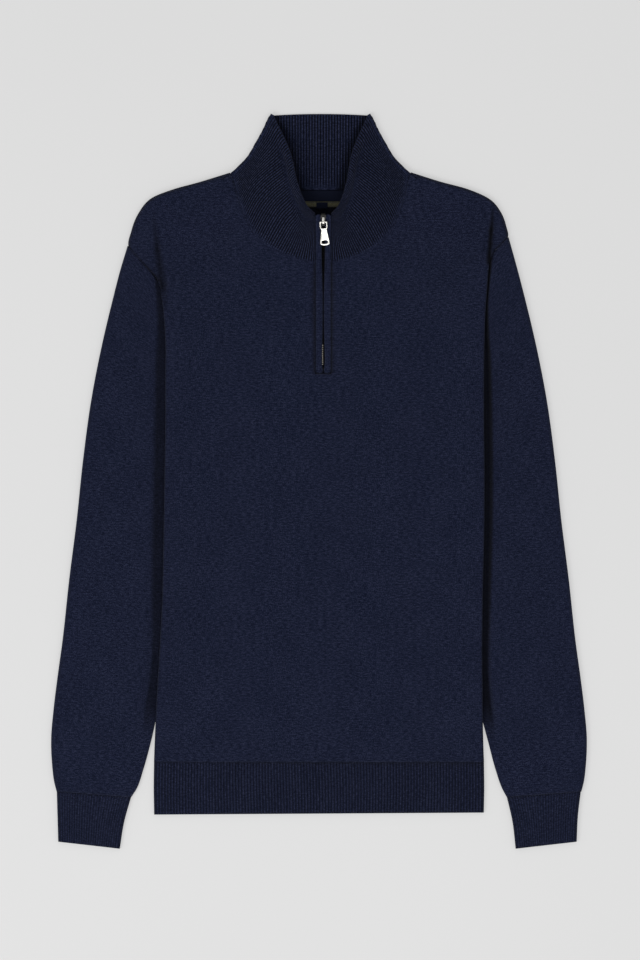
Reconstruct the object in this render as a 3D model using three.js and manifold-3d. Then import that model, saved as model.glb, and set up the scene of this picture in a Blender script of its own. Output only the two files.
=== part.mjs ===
// A quarter zip knitted sweater, men's medium, lying flat on its back with its sleeves at its sides.
// Millimetres. X runs to the viewer's right, Y from hem to neck, Z up from the surface it lies on.
// Each knitted piece is a wall of its own thickness, with a narrow gap where it is sewn on.
import * as THREE from "three";
import { mergeVertices } from "three/addons/utils/BufferGeometryUtils.js";
import Module from "manifold-3d";

const wasm = await Module();
wasm.setup();

// Driving dimensions
const gap = 0.3; // between two pieces along a seam
const seamClearance = 0.5; // the same along the round neck seam, whose edges have unlike steps
const jersey = 1.8; // wall of the plain knit
const ribbing = 2.3; // wall of the ribbed knit
const ribHeight = 0.45; // how far a rib stands out of the ribbing
const zipX = 4.7; // the zip's middle line
const neckX = 1.7; // the middle of the collar at the shoulders
const hemSeamY = -309;
const hemEndY = -363;
const hemRibs = 110;
const cuffRibs = 25;
const placketEndY = 118;
const yokeY = 155; // the chest line where the rows start to bend round the neck
const neckFrontY = 238.7; // the neck seam at the zip
const collarTopY = 403.6;
const neckBackY = 320; // the neck seam at the back's middle
const collarRimY = 293.5; // the collar's edge at the zip

// The sides of the body, a row for each height. top and lip are the fold's highest and lowest level:
// above the cuffs the body lies over the sleeves, so its fold is lifted by the sleeve under it.
const sideRows = [
  { y: hemSeamY + gap, left: -181.5, right: 181.5, top: 6.2, lip: 0 },
  { y: -290, left: -181.5, right: 181.2, top: 6.6, lip: 0.8 },
  { y: -268, left: -181.2, right: 180.6, top: 9, lip: 4.5 },
  { y: -241, left: -179.5, right: 180, top: 9.5, lip: 4.8 },
  { y: -197, left: -176, right: 179.5, top: 9.6, lip: 4.8 },
  { y: -131, left: -172.5, right: 180, top: 9.6, lip: 4.8 },
  { y: -65, left: -171, right: 181.5, top: 9.6, lip: 4.8 },
  { y: 1, left: -170, right: 182, top: 9.6, lip: 4.8 },
  { y: 67, left: -169, right: 181.5, top: 9.6, lip: 4.8 },
  { y: placketEndY, left: -169, right: 181.5, top: 9.6, lip: 4.8 },
  { y: yokeY, left: -169, right: 182, top: 9.6, lip: 4.8 },
];

// The armhole seams, from the shoulder's edge to the end that is tucked under the body.
const armholes = {
  left: { shoulder: [-210.5, 258.5], tuck: [-163.5, 207.5] },
  right: { shoulder: [208.5, 268], tuck: [175.5, 237] },
};

// The body's edge from the chest line to the neck. A seam value is a share of the armhole seam,
// counted from the shoulder. curl 1 folds the cloth under, curl 0.5 turns it down to the surface.
const yokeRows = {
  left: [
    { x: -171, y: 186, top: 9.5, lip: 4.8, curl: 1 },
    { x: -173.8, y: 206, top: 9.4, lip: 4.8, curl: 1 },
    { seam: 0.72, top: 9, lip: 4.8, curl: 0 },
    { seam: 0.36, top: 8, lip: 4.8, curl: 0 },
    { seam: 0.03, top: 7.2, lip: 0, curl: 0.5 },
    { x: -206.5, y: 275, top: 7.4, lip: 0, curl: 0.5 },
    { x: -199.5, y: 293, top: 7.6, lip: 0, curl: 0.5 },
    { x: -186, y: 310, top: 7.8, lip: 0, curl: 0.5 },
    { x: -161.5, y: 320.5, top: 8, lip: 0, curl: 0.5 },
    { x: -131, y: 329, top: 8, lip: 0, curl: 0.5 },
    { x: -99.3, y: 338.3, top: 8, lip: 0, curl: 0.5 },
  ],
  right: [
    { x: 183, y: 186, top: 9.5, lip: 4.8, curl: 1 },
    { x: 185, y: 212, top: 9.4, lip: 4.8, curl: 1 },
    { x: 186.8, y: 236, top: 9.2, lip: 4.8, curl: 1 },
    { seam: 0.5, top: 8.4, lip: 4.8, curl: 0 },
    { seam: 0.04, top: 7.2, lip: 0, curl: 0.5 },
    { x: 206, y: 280.5, top: 7.4, lip: 0, curl: 0.5 },
    { x: 200, y: 296, top: 7.6, lip: 0, curl: 0.5 },
    { x: 188, y: 310, top: 7.8, lip: 0, curl: 0.5 },
    { x: 164, y: 321, top: 8, lip: 0, curl: 0.5 },
    { x: 133, y: 329.5, top: 8, lip: 0, curl: 0.5 },
    { x: 102.4, y: 338.6, top: 8, lip: 0, curl: 0.5 },
  ],
};
const foldedYokeRows = { left: 2, right: 3 }; // how many of them lie over the sleeve

// How the body's cloth runs in from its side, in millimetres from the fold.
const foldReach = 2.4;
const shoulderReach = 4.2; // the same where it only turns down to the surface
const foldSteps = 4;
const underReach = [12.5, 15.2, 17.8, 20.5, 22]; // the return under the fold, down to the side seam
const acrossShares = [0, 0.05, 0.12, 0.2, 0.3, 0.4, 0.5, 0.6, 0.7, 0.8, 0.9, 1]; // from fold to placket
const edgeRise = 70; // the width over which the front falls from its side to its middle level
const backInset = { x: 1.2, y: 3.4 }; // how far the back stays inside the shoulder's edge
const frontLevel = 7.2; // the front's top in the middle

// The front's neck seam, from the zip to the shoulder: half width, height up the garment, level.
const neckSeam = [
  { half: 9, y: neckFrontY, z: 12.6 },
  { half: 44, y: 250, z: 12 },
  { half: 72, y: 268.7, z: 11 },
  { half: 88.5, y: 303, z: 9.6 },
  { half: 98.6, y: 338, z: 8 },
];

// The zip's line from its end up to the collar's edge, at the top of the placket strips.
const zipLine = [
  { y: 100, z: 7.8 },
  { y: placketEndY, z: 7.8 },
  { y: yokeY, z: 8.2 },
  { y: 200, z: 9.8 },
  { y: neckFrontY, z: 13 },
  { y: 254, z: 16.2 },
  { y: 270, z: 20.2 },
  { y: 286, z: 24.2 },
  { y: 302, z: 28.2 },
];

// The collar's rings, from the neck seam to its edge. The front of each ring passes through four
// points: half width, height up the garment and level of the wall's middle. Its edge is only thick
// along the front.
const collarRings = [
  { wall: 2.3, foldX: 99.5, foldY: 338.5, backY: neckBackY,
    levels: [11.2, 10.8, 9.8, 8.5, 6.4], half: [9, 44, 72, 88.5], y: [238.7, 250, 268.7, 303] },
  { wall: 2.3, foldX: 83.5, foldY: 354, backY: 345.4,
    levels: [14, 14.4, 13.8, 11.4, 6.2], half: [9, 37, 60.5, 75], y: [251, 262.5, 290, 325] },
  { wall: 2.3, foldX: 72, foldY: 372, backY: 370.6,
    levels: [17.8, 18.4, 17.4, 14.4, 6], half: [9, 29.5, 48.5, 58], y: [266, 276.5, 306.5, 341] },
  { wall: 2.3, foldX: 61.8, foldY: 388, backY: 387.4,
    levels: [21, 20.6, 19.4, 16, 5.8], half: [9, 23.5, 38, 45.5], y: [279, 285.5, 316, 351] },
  { wall: 4.2, foldX: 57, foldY: 398.5, backY: 398.4,
    levels: [22.6, 22.8, 21.6, 17.6, 6.4], half: [9, 20.6, 31.5, 39.5], y: [288.5, 297, 322.5, 358] },
  { wall: 2.2, foldX: 54, foldY: collarTopY, backY: collarTopY,
    levels: [24, 24, 22.8, 18.6, 5.8], half: [9, 18.6, 26.8, 34.5], y: [293.5, 305, 328.2, 363] },
];
const frontRibs = 50; // ribs from the zip to the fold at the shoulder
const halfRibs = 75; // ribs from the zip to the middle of the back
const foldRibs = 3; // ribs that go round the fold at the shoulder
const foldDepth = 3; // how far the fold stands out of the two layers that it joins
const foldLean = [0.84, 0.54]; // the way the fold faces

// A sleeve's sections from below the armhole to the cuff: its outer edge, its inner edge on each
// side, how much of it is tucked under the body and how thick it is there.
const sleeveRows = [
  { outX: 218.5, outY: 232, leftIn: 160.5, rightIn: 171.5, inY: 181, tuck: 14, inner: 4.3 },
  { outX: 227, outY: 199, leftIn: 158, rightIn: 170.5, inY: 155, tuck: 13, inner: 4.3 },
  { outX: 237.5, outY: 155, leftIn: 157.8, rightIn: 170.2, inY: 125, tuck: 13, inner: 4.3 },
  { outX: 250.5, outY: 89, leftIn: 157.8, rightIn: 170.2, inY: 72.5, tuck: 13, inner: 4.3 },
  { outX: 259.5, outY: 23, leftIn: 158.5, rightIn: 170.5, inY: 14, tuck: 13, inner: 4.3 },
  { outX: 266.5, outY: -43, leftIn: 159.6, rightIn: 170, inY: -47, tuck: 13, inner: 4.3 },
  { outX: 274, outY: -109, leftIn: 161, rightIn: 168.6, inY: -111, tuck: 13, inner: 4.3 },
  { outX: 282, outY: -175, leftIn: 163.4, rightIn: 168.2, inY: -176, tuck: 13, inner: 4.3 },
  { outX: 288, outY: -219, leftIn: 168.2, rightIn: 169.8, inY: -221, tuck: 12, inner: 4.2 },
  { outX: 292, outY: -252, leftIn: 176, rightIn: 174.5, inY: -254, tuck: 8, inner: 4 },
  { outX: 294.6, outY: -285, leftIn: 184.8, rightIn: 186, inY: -287, tuck: 3, inner: 4.6 },
  { outX: 293.5, outY: -312, leftIn: 193, rightIn: 194, inY: -317, tuck: 0, inner: 5.4 },
  { outX: 291, outY: -332, leftIn: 200.5, rightIn: 201.5, inY: -338.5, tuck: 0, inner: 6 },
  { outX: 288.5, outY: -341.5, leftIn: 206.5, rightIn: 206.5, inY: -347.7, tuck: 0, inner: 6 },
];
const sleeveLevel = 7; // the top of a sleeve away from its tucked side
const sleeveRise = 26; // the width over which it rises to that
const cuffRows = [
  { outX: 288.4, outY: -341.8, inX: 206.4, inY: -348, level: 6.4 },
  { outX: 287, outY: -367.4, inX: 212.6, inY: -374.2, level: 6.6 },
  { outX: 286, outY: -396.6, inX: 218.2, inY: -404.3, level: 5.8 },
];

// The zip
const stripOuter = 8.7; // the placket strips' outer edge from the zip's middle line
const stripInner = 1.3;
const stripWall = 2.2;
const stripStep = 0.5; // how far the strips stand over the front
const tapeWall = 0.8;
const chainHalf = 1;
const chainTop = 0.8; // below the strips' top
const zipEndY = 125.5;
const pivotY = 284.5;
const sliderLength = 12.6;
const sliderHalf = 3.3;
const sliderPlate = 0.8;
const sliderLow = -4.4; // the slider's lower end from the pull's pivot
const bridgeHalf = 1.1;
const bridgeTop = 4;
const bridgeWindow = { low: -0.95, high: 4.6, top: 3 };
const bridgeEnds = { low: -1.9, high: 5.6 };
const postEnds = { low: 5, high: 7.2 };
const postHalf = 0.9;
const pivotLevel = 2.05; // the pull's pivot above the strips
const pullTilt = 2.4; // degrees that the pull leans from the strips, so that its end rests on them
const pullWall = 1.3;
const pullEye = { half: 4.5, holeHalf: 3.1, bar: 0.65, end: 7.4 };
const pullPlate = { topHalf: 3.3, bottomHalf: 5.4, top: 8.2, bottom: 25.6 };
const pullHole = { halfX: 3.1, halfY: 1.9, y: 21.8 };

// Labels inside the neck
const label = { half: 29, top: 319.2, bottom: 307.6, level: 2.1, wall: 0.6 };
const neckTape = { half: 36, top: 307.2, bottom: 301.2, level: 2.1, wall: 0.8 };
const sizeLabel = { half: 6.2, top: 306.4, bottom: 299.6, level: 3.2, wall: 0.5 };

const colours = { jersey: 0x1b2033, ribbing: 0x181c2b, metal: 0xc9c7c0, tape: 0x15161c,
  olive: 0x4d4c3c, label: 0x101426 };

// Small helpers
const mix = (a, b, t) => a + (b - a) * t;
const ease = (t) => THREE.MathUtils.smoothstep(t, 0, 1);
const vec = (x, y, z) => new THREE.Vector3(x, y, z);
const curveThrough = (points) => new THREE.CatmullRomCurve3(points, false, "catmullrom", 0.5);

function levelAt(rows, y) {
  const last = rows.length - 2;
  const found = rows.findIndex((row, i) => i < rows.length - 1 && y <= rows[i + 1].y);
  const i = found < 0 ? last : found;
  return mix(rows[i].z, rows[i + 1].z, (y - rows[i].y) / (rows[i + 1].y - rows[i].y));
}

function meshOf(name, points, faces, colour) {
  const geometry = new THREE.BufferGeometry().setFromPoints(points);
  let volume = 0;
  for (let i = 0; i < faces.length; i += 3) {
    const [a, b, c] = [faces[i], faces[i + 1], faces[i + 2]].map((k) => points[k]);
    volume += a.dot(b.clone().cross(c));
  }
  geometry.setIndex(volume < 0 ? faces.slice().reverse() : faces);
  geometry.computeVertexNormals();
  const mesh = new THREE.Mesh(geometry, clothMaterial(colour));
  mesh.name = name;
  return mesh;
}

function clothMaterial(color) {
  return new THREE.MeshStandardMaterial({ color, roughness: 0.95, metalness: 0 });
}

// The triangles between two rows of points, matched by their places along the edge.
function stitch(faces, a, aAt, b, bAt) {
  let i = 0;
  let j = 0;
  while (i < a.length - 1 || j < b.length - 1) {
    const stepA = j === b.length - 1 || (i < a.length - 1 && aAt[i + 1] <= bAt[j + 1]);
    if (stepA) {
      faces.push(a[i], a[i + 1], b[j]);
      i += 1;
    } else {
      faces.push(a[i], b[j + 1], b[j]);
      j += 1;
    }
  }
}

// A wall between an outer and an inner face, each a list of rows. The two have as many rows, but
// may differ in columns. A closed wall goes all round, as a sleeve does.
function wallOf(name, outer, inner, colour, closed = false) {
  const points = [];
  const faces = [];
  const lay = (face) =>
    face.rows.map((row) => {
      const indices = row.map((point) => points.push(point) - 1);
      return closed ? [...indices, indices[0]] : indices;
    });
  const outside = lay(outer);
  const inside = lay(inner);
  const last = outside.length - 1;
  const outerAt = closed ? [...outer.at, 2] : outer.at;
  const innerAt = closed ? [...inner.at, 2] : inner.at;
  for (let i = 0; i < last; i += 1) {
    stitch(faces, outside[i], outerAt, outside[i + 1], outerAt);
    stitch(faces, inside[i + 1], innerAt, inside[i], innerAt);
  }
  stitch(faces, inside[0], innerAt, outside[0], outerAt);
  stitch(faces, outside[last], outerAt, inside[last], innerAt);
  if (!closed) {
    const column = (grid, k) => grid.map((row) => row.at(k));
    const steps = outside.map((_, i) => i);
    stitch(faces, column(outside, 0), steps, column(inside, 0), steps);
    stitch(faces, column(inside, -1), steps, column(outside, -1), steps);
  }
  return meshOf(name, points, faces, colour);
}

// A wall whose two faces share one grid, with some of the grid's cells left out.
function panelOf(name, outer, inner, isKept, colour) {
  const points = [];
  const faces = [];
  const lay = (grid) => grid.map((row) => row.map((point) => points.push(point) - 1));
  const up = lay(outer);
  const down = lay(inner);
  const kept = (i, j) =>
    i >= 0 && j >= 0 && i < up.length - 1 && j < up[0].length - 1 && isKept(i, j);
  const quad = (a, b, c, d) => faces.push(a, b, c, a, c, d);
  for (let i = 0; i < up.length - 1; i += 1) {
    for (let j = 0; j < up[0].length - 1; j += 1) {
      if (!kept(i, j)) continue;
      quad(up[i][j], up[i][j + 1], up[i + 1][j + 1], up[i + 1][j]);
      quad(down[i][j], down[i + 1][j], down[i + 1][j + 1], down[i][j + 1]);
      if (!kept(i - 1, j)) quad(up[i][j + 1], up[i][j], down[i][j], down[i][j + 1]);
      if (!kept(i + 1, j)) quad(up[i + 1][j], up[i + 1][j + 1], down[i + 1][j + 1], down[i + 1][j]);
      if (!kept(i, j - 1)) quad(up[i][j], up[i + 1][j], down[i + 1][j], down[i][j]);
      if (!kept(i, j + 1)) quad(up[i + 1][j + 1], up[i][j + 1], down[i][j + 1], down[i + 1][j + 1]);
    }
  }
  const used = new Set(faces);
  const renumber = new Map([...used].sort((a, b) => a - b).map((old, k) => [old, k]));
  const keptPoints = [...renumber.keys()].map((old) => points[old]);
  return meshOf(name, keptPoints, faces.map((old) => renumber.get(old)), colour);
}

// The direction across the wall at each point of a grid. On a seam's row it is turned upright, so
// that the two sewn edges stay parallel.
function normalsOf(grid, isSeam) {
  const at = (i, j) => grid[THREE.MathUtils.clamp(i, 0, grid.length - 1)];
  return grid.map((row, i) =>
    row.map((_, j) => {
      const along = row[Math.min(j + 1, row.length - 1)].clone().sub(row[Math.max(j - 1, 0)]);
      const up = at(i + 1, j)[j].clone().sub(at(i - 1, j)[j]);
      const normal = along.cross(up).normalize();
      if (isSeam(i, j)) {
        const flat = 1 - normal.z ** 2;
        normal.set(normal.x * flat, normal.y * flat, normal.z).normalize();
      }
      return normal;
    }),
  );
}

const moved = (grid, normals, distance) =>
  grid.map((row, i) => row.map((p, j) => p.clone().addScaledVector(normals[i][j], distance)));

// The body's front. Its grid of outer points runs from the left side seam over the front to the right.
function armholePoint(side, share, inset) {
  const { shoulder, tuck } = armholes[side];
  const along = new THREE.Vector2(tuck[0] - shoulder[0], tuck[1] - shoulder[1]);
  const length = along.length();
  along.normalize();
  const inward = new THREE.Vector2(-along.y, along.x).multiplyScalar(side === "left" ? 1 : -1);
  return {
    x: shoulder[0] + along.x * length * share + inward.x * inset,
    y: shoulder[1] + along.y * length * share + inward.y * inset,
  };
}

function edgeOf(side, row) {
  if (row.seam === undefined) return { ...row };
  return { ...row, ...armholePoint(side, row.seam, gap) };
}

// The points of one row from its outer edge to the placket, on the way over the fold.
function frontHalf(side, edge, inward, across) {
  const middle = (edge.top + edge.lip) / 2;
  const half = (edge.top - edge.lip) / 2;
  const reach = edge.curl === 0.5 ? shoulderReach : foldReach;
  const height = edge.curl === 0.5 ? edge.top : half;
  const centre = edge.curl === 0.5 ? 0 : middle;
  const inFrom = (distance, level) =>
    vec(edge.x + inward.x * distance, edge.y + inward.y * distance, level);
  const dropAt = (distance) => (1 - Math.cos(Math.PI * THREE.MathUtils.clamp(distance, 0, 1))) / 2;
  const under = underReach
    .map((distance) => {
      const down = (distance - underReach[0]) / (underReach[3] - underReach[0]);
      return inFrom(distance, edge.lip * (1 - dropAt(down)));
    })
    .reverse();
  const fold = [];
  for (let k = 0; k < foldSteps; k += 1) {
    const turn = Math.PI * edge.curl * (1 - k / foldSteps);
    const flat = inFrom((reach * k) / foldSteps, edge.top);
    const curled = inFrom(reach * (1 - Math.sin(turn)), centre + height * Math.cos(turn));
    fold.push(edge.curl === 0 ? flat : curled);
  }
  return [...under, ...fold, ...across(inFrom(reach, edge.top))];
}

const widthEase = (distance) => 1 - ease(distance / edgeRise);

function chestRow(side, row) {
  const placketX = zipX + (side === "left" ? -1 : 1) * (stripOuter + gap);
  const inward = { x: side === "left" ? 1 : -1, y: 0 };
  const edge = { x: row[side], y: row.y, top: row.top, lip: row.lip, curl: 1 };
  const middle = row.y > placketEndY - 1 ? levelAt(zipLine, row.y) - stripStep : frontLevel;
  return frontHalf(side, edge, inward, (start) =>
    acrossShares.map((share) => {
      const x = mix(start.x, placketX, share);
      const fall = widthEase(Math.abs(x - start.x)) - widthEase(Math.abs(placketX - start.x));
      return vec(x, row.y, middle + (row.top - middle) * fall);
    }),
  );
}

function neckSeamCurve(side) {
  const way = side === "left" ? -1 : 1;
  return curveThrough(
    neckSeam.map((row, i) => {
      const centre = mix(zipX, neckX, i / (neckSeam.length - 1));
      const outward = i === 0 ? 0 : seamClearance;
      return vec(centre + way * (row.half + outward), row.y - (i < 4 ? seamClearance : 0), row.z);
    }),
  );
}

function yokeRowsOf(side) {
  const rows = yokeRows[side];
  const seam = neckSeamCurve(side);
  const chest = chestRow(side, sideRows.at(-1)).slice(-acrossShares.length);
  const edges = rows.map((row) => edgeOf(side, row));
  const placketX = zipX + (side === "left" ? -1 : 1) * (stripOuter + gap);
  return edges.map((edge, k) => {
    const v = (k + 1) / rows.length;
    const placketY = mix(yokeY, neckFrontY - gap, v);
    const placket = vec(placketX, placketY, levelAt(zipLine, placketY) - stripStep);
    const before = k === 0 ? { x: sideRows.at(-1)[side], y: yokeY } : edges[k - 1];
    const after = edges[Math.min(k + 1, edges.length - 1)];
    const turn = new THREE.Vector2(after.y - before.y, before.x - after.x).normalize();
    if (side === "right") turn.negate();
    const inward = edge.curl === 1 ? { x: side === "left" ? 1 : -1, y: 0 } : turn;
    const lastRow = k === rows.length - 1;
    return frontHalf(side, edge, inward, (start) =>
      acrossShares.map((u) => {
        const low = chest[acrossShares.indexOf(u)];
        const high = seam.getPoint(1 - u);
        if (lastRow) return u === 0 ? start.clone().lerp(high, 0.5) : high;
        const corners = chest[0].clone().multiplyScalar((1 - u) * (1 - v))
          .addScaledVector(chest.at(-1), u * (1 - v))
          .addScaledVector(seam.getPoint(1), (1 - u) * v)
          .addScaledVector(seam.getPoint(0), u * v);
        return low.clone().multiplyScalar(1 - v).addScaledVector(high, v)
          .addScaledVector(start, 1 - u).addScaledVector(placket, u).sub(corners);
      }),
    );
  });
}

function frontBody() {
  const halves = (side) => [...sideRows.map((row) => chestRow(side, row)), ...yokeRowsOf(side)];
  const left = halves("left");
  const right = halves("right");
  const grid = left.map((row, i) => [...row, ...right[i].slice().reverse()]);
  const columns = grid[0].length;
  const underColumns = underReach.length;
  const placketColumn = left[0].length - 1;
  const placketRow = sideRows.findIndex((row) => row.y === placketEndY);
  const lastFolded = (side) => sideRows.length - 1 + foldedYokeRows[side];
  const isSeam = (i, j) => i === grid.length - 1 || i >= lastFolded("left") + 1;
  const normals = normalsOf(grid, isSeam);
  const isKept = (i, j) => {
    if (j === placketColumn) return i < placketRow;
    if (j < underColumns) return i < lastFolded("left");
    if (j >= columns - 1 - underColumns) return i < lastFolded("right");
    return true;
  };
  return panelOf("front_body", grid, moved(grid, normals, -jersey), isKept, colours.jersey);
}

// The body's back is one flat panel on the surface.
function backOutline(side) {
  const way = side === "left" ? -1 : 1;
  const inset = underReach.at(-1) + gap;
  const folded = yokeRows[side].filter((row) => row.curl === 1);
  const shoulder = yokeRows[side].filter((row) => row.curl === 0.5 && row.seam === undefined);
  const sideLine = [...sideRows.map((row) => ({ x: row[side], y: row.y })), ...folded];
  const lastY = folded.at(-1).y + 2 * gap;
  const low = sideLine.map((row) => [row.x - way * inset, row.y]);
  const steps = [0.98, 0.65, 0.35, 0.06].map((share) => armholePoint(side, share, gap + 0.1));
  const seam = steps.map((point) => [point.x, point.y]);
  const over = shoulder.map((row) => [row.x - way * backInset.x, row.y - backInset.y]);
  const corner = armholes[side].tuck[0] - way;
  return [...low, [sideLine.at(-1).x - way * inset, lastY], [corner, lastY], ...seam, ...over];
}

function backBody() {
  const points = [...backOutline("left")];
  const seamSteps = 20;
  const right = backOutline("right");
  const start = points.at(-1);
  const end = right.at(-1);
  for (let k = 1; k < seamSteps; k += 1) {
    const x = mix(start[0], end[0], k / seamSteps);
    points.push([x, backY(collarRings[0], x - neckX) - seamClearance]);
  }
  points.push(...right.reverse());
  const shape = new THREE.Shape(points.map(([x, y]) => new THREE.Vector2(x, y)));
  const geometry = new THREE.ExtrudeGeometry(shape, { depth: jersey, bevelEnabled: false });
  const mesh = new THREE.Mesh(geometry, clothMaterial(colours.jersey));
  mesh.name = "back_body";
  return mesh;
}

// How high up the garment a ring runs across the back, at a distance from its middle.
function backY(ring, x) {
  const edge = ring.foldX - foldDepth;
  return mix(ring.backY, ring.foldY - foldDepth * foldLean[1], Math.min(1, (x / edge) ** 2));
}

// A flattened tube's section between two edges, as one loop of points: over the top, round the
// second edge, back along the surface and round the first.
function flatLoop(section, inset, topShares, rib = () => 0) {
  const { from, to, levelAtShare } = section;
  const across = to.clone().sub(from);
  const width = across.length();
  across.normalize();
  const points = [];
  const at = [];
  const put = (distance, level, place) => {
    points.push(vec(from.x + across.x * distance, from.y + across.y * distance, level));
    at.push(place);
  };
  const arcSteps = 3;
  const bottomSteps = 5;
  const roundAt = (share) => {
    const level = levelAtShare(share);
    return { reach: level * 0.5 - inset * 0.8, half: level / 2 - inset, middle: level / 2 };
  };
  const first = roundAt(0);
  const second = roundAt(1);
  const start = inset + first.reach;
  const end = width - inset - second.reach;
  topShares.forEach((share) => {
    put(mix(start, end, share), levelAtShare(share) - inset + rib(share), share * 0.8);
  });
  for (let k = 1; k <= arcSteps; k += 1) {
    const turn = (Math.PI * k) / (arcSteps + 1);
    const level = second.middle + second.half * Math.cos(turn);
    put(end + second.reach * Math.sin(turn), level, 0.8 + k * 0.05);
  }
  for (let k = 0; k <= bottomSteps; k += 1) {
    put(mix(end, start, k / bottomSteps), inset, 1 + (k / bottomSteps) * 0.8);
  }
  for (let k = 1; k <= arcSteps; k += 1) {
    const turn = Math.PI + (Math.PI * k) / (arcSteps + 1);
    const level = first.middle + first.half * Math.cos(turn);
    put(start + first.reach * Math.sin(turn), level, 1.8 + k * 0.04);
  }
  return { points, at };
}

function tubeOf(name, sections, wall, outerShares, innerShares, colour, rib) {
  const outer = sections.map((section) => flatLoop(section, 0, outerShares, rib));
  const inner = sections.map((section) => flatLoop(section, wall, innerShares));
  const face = (loops) => ({ rows: loops.map((loop) => loop.points), at: loops[0].at });
  return wallOf(name, face(outer), face(inner), colour, true);
}

const sleeveShares = [0, 0.15, 0.32, 0.5, 0.64, 0.74, 0.82, 0.9, 1];

function sleeve(side) {
  const way = side === "left" ? -1 : 1;
  const { shoulder, tuck } = armholes[side];
  const ends = { from: new THREE.Vector2(...shoulder), to: new THREE.Vector2(...tuck) };
  const first = { ...ends, tuck: 15, inner: 4.3 };
  const others = sleeveRows.map((row) => ({
    from: new THREE.Vector2(way * row.outX, row.outY),
    to: new THREE.Vector2(way * row[side + "In"], row.inY),
    tuck: row.tuck,
    inner: row.inner,
  }));
  const sections = [first, ...others].map((row) => {
    const width = row.from.distanceTo(row.to);
    const levelAtShare = (share) => {
      const rise = ease(((1 - share) * width - row.tuck) / sleeveRise);
      return mix(row.inner, sleeveLevel, rise) - 0.5 * (1 - ease(share * 3));
    };
    return { ...row, levelAtShare };
  });
  return tubeOf("sleeve_" + side, sections, jersey, sleeveShares, sleeveShares, colours.jersey);
}

const ribShares = (count) => Array.from({ length: 2 * count + 1 }, (_, k) => k / (2 * count));
const ribOf = (count) => (share) => (Math.round(share * 2 * count) % 2 ? ribHeight : 0);
const plainShares = [0, 0.04, 0.1, 0.2, 0.35, 0.5, 0.65, 0.8, 0.9, 0.96, 1];

function cuff(side) {
  const way = side === "left" ? -1 : 1;
  const sections = cuffRows.map((row) => ({
    from: new THREE.Vector2(way * row.outX, row.outY),
    to: new THREE.Vector2(way * row.inX, row.inY),
    levelAtShare: () => row.level - ribHeight,
  }));
  return tubeOf("cuff_" + side, sections, ribbing, ribShares(cuffRibs), plainShares,
    colours.ribbing, ribOf(cuffRibs));
}

function hem() {
  const rows = [
    { y: hemSeamY, side: 6, middle: 7.2, half: 181.4 },
    { y: mix(hemSeamY, hemEndY, 0.5), side: 6, middle: 6.9, half: 181.8 },
    { y: hemEndY, side: 5.4, middle: 5.8, half: 181.3 },
  ];
  const sections = rows.map((row) => ({
    from: new THREE.Vector2(-row.half, row.y),
    to: new THREE.Vector2(row.half, row.y),
    levelAtShare: (share) =>
      mix(row.side, row.middle, ease(Math.min(share, 1 - share) * 6)) - ribHeight,
  }));
  return tubeOf("hem_rib", sections, ribbing, ribShares(hemRibs), plainShares, colours.ribbing,
    ribOf(hemRibs));
}

const wallAt = (ring, rib) =>
  mix(Math.min(ring.wall, ribbing), ring.wall, ease((frontRibs - 6 - rib) / 16));

// The collar. A point is found by its rib, counted from the zip to the back, and its ring.
function collarPoint(side, rib, ring) {
  const way = side === "left" ? -1 : 1;
  const backEdge = ring.foldX - foldDepth;
  const foldEnd = frontRibs + foldRibs;
  const low = wallAt(ring, rib) / 2;
  const high = ring.levels.at(-1);
  const base = { x: ring.foldX - foldDepth * foldLean[0], y: ring.foldY - foldDepth * foldLean[1] };
  if (rib >= foldEnd) {
    const x = (backEdge * (halfRibs - rib)) / (halfRibs - foldEnd);
    return vec(neckX + way * x, backY(ring, x), low);
  }
  if (rib > frontRibs) {
    const turn = (Math.PI * (rib - frontRibs)) / foldRibs;
    const out = foldDepth * Math.sin(turn);
    const x = mix(base.x, backEdge, ease((rib - frontRibs) / foldRibs)) + out * foldLean[0];
    const level = mix(high, low, (1 - Math.cos(turn)) / 2);
    return vec(neckX + way * x, base.y + out * foldLean[1], level);
  }
  const share = rib / frontRibs;
  const stations = ring.half.map((half, k) => vec(half, ring.y[k], ring.levels[k]));
  stations.push(vec(base.x, base.y, high));
  const point = curveThrough(stations).getPoint(share);
  return vec(mix(zipX, neckX, share) + way * point.x, point.y, point.z);
}

function collar() {
  const sides = [
    ...Array.from({ length: 2 * halfRibs }, (_, k) => ({ side: "left", rib: k / 2, at: k / 2 })),
    ...Array.from({ length: 2 * halfRibs + 1 }, (_, k) => (
      { side: "right", rib: halfRibs - k / 2, at: halfRibs + k / 2 })),
  ];
  const middle = (place) =>
    collarRings.map((ring) => collarPoint(place.side, place.rib, ring));
  const grid = collarRings.map((_, i) => sides.map((place) => middle(place)[i]));
  const normals = normalsOf(grid, (i) => i === 0).map((row) => row.map((n) => n.negate()));
  const isFront = (place) => place.rib <= frontRibs + foldRibs / 2;
  const isBack = (place) => place.rib >= frontRibs;
  const coarse = 7; // points of the plain side are this many steps apart
  const face = (way, isRibbed) => {
    const kept = sides.map((place, k) => isRibbed(place) || k % coarse === 0 || k === sides.length - 1);
    const rows = grid.map((row, i) =>
      row.flatMap((point, k) => {
        if (!kept[k]) return [];
        const raised = isRibbed(sides[k]) && k % 2 ? ribHeight : 0;
        const away = way * (wallAt(collarRings[i], sides[k].rib) / 2 + raised);
        const placed = point.clone().addScaledVector(normals[i][k], away);
        placed.z = Math.max(placed.z, 0);
        return [placed];
      }),
    );
    return { rows, at: sides.filter((_, k) => kept[k]).map((place) => place.at) };
  };
  return wallOf("collar", face(1, isFront), face(-1, isBack), colours.ribbing);
}

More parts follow.
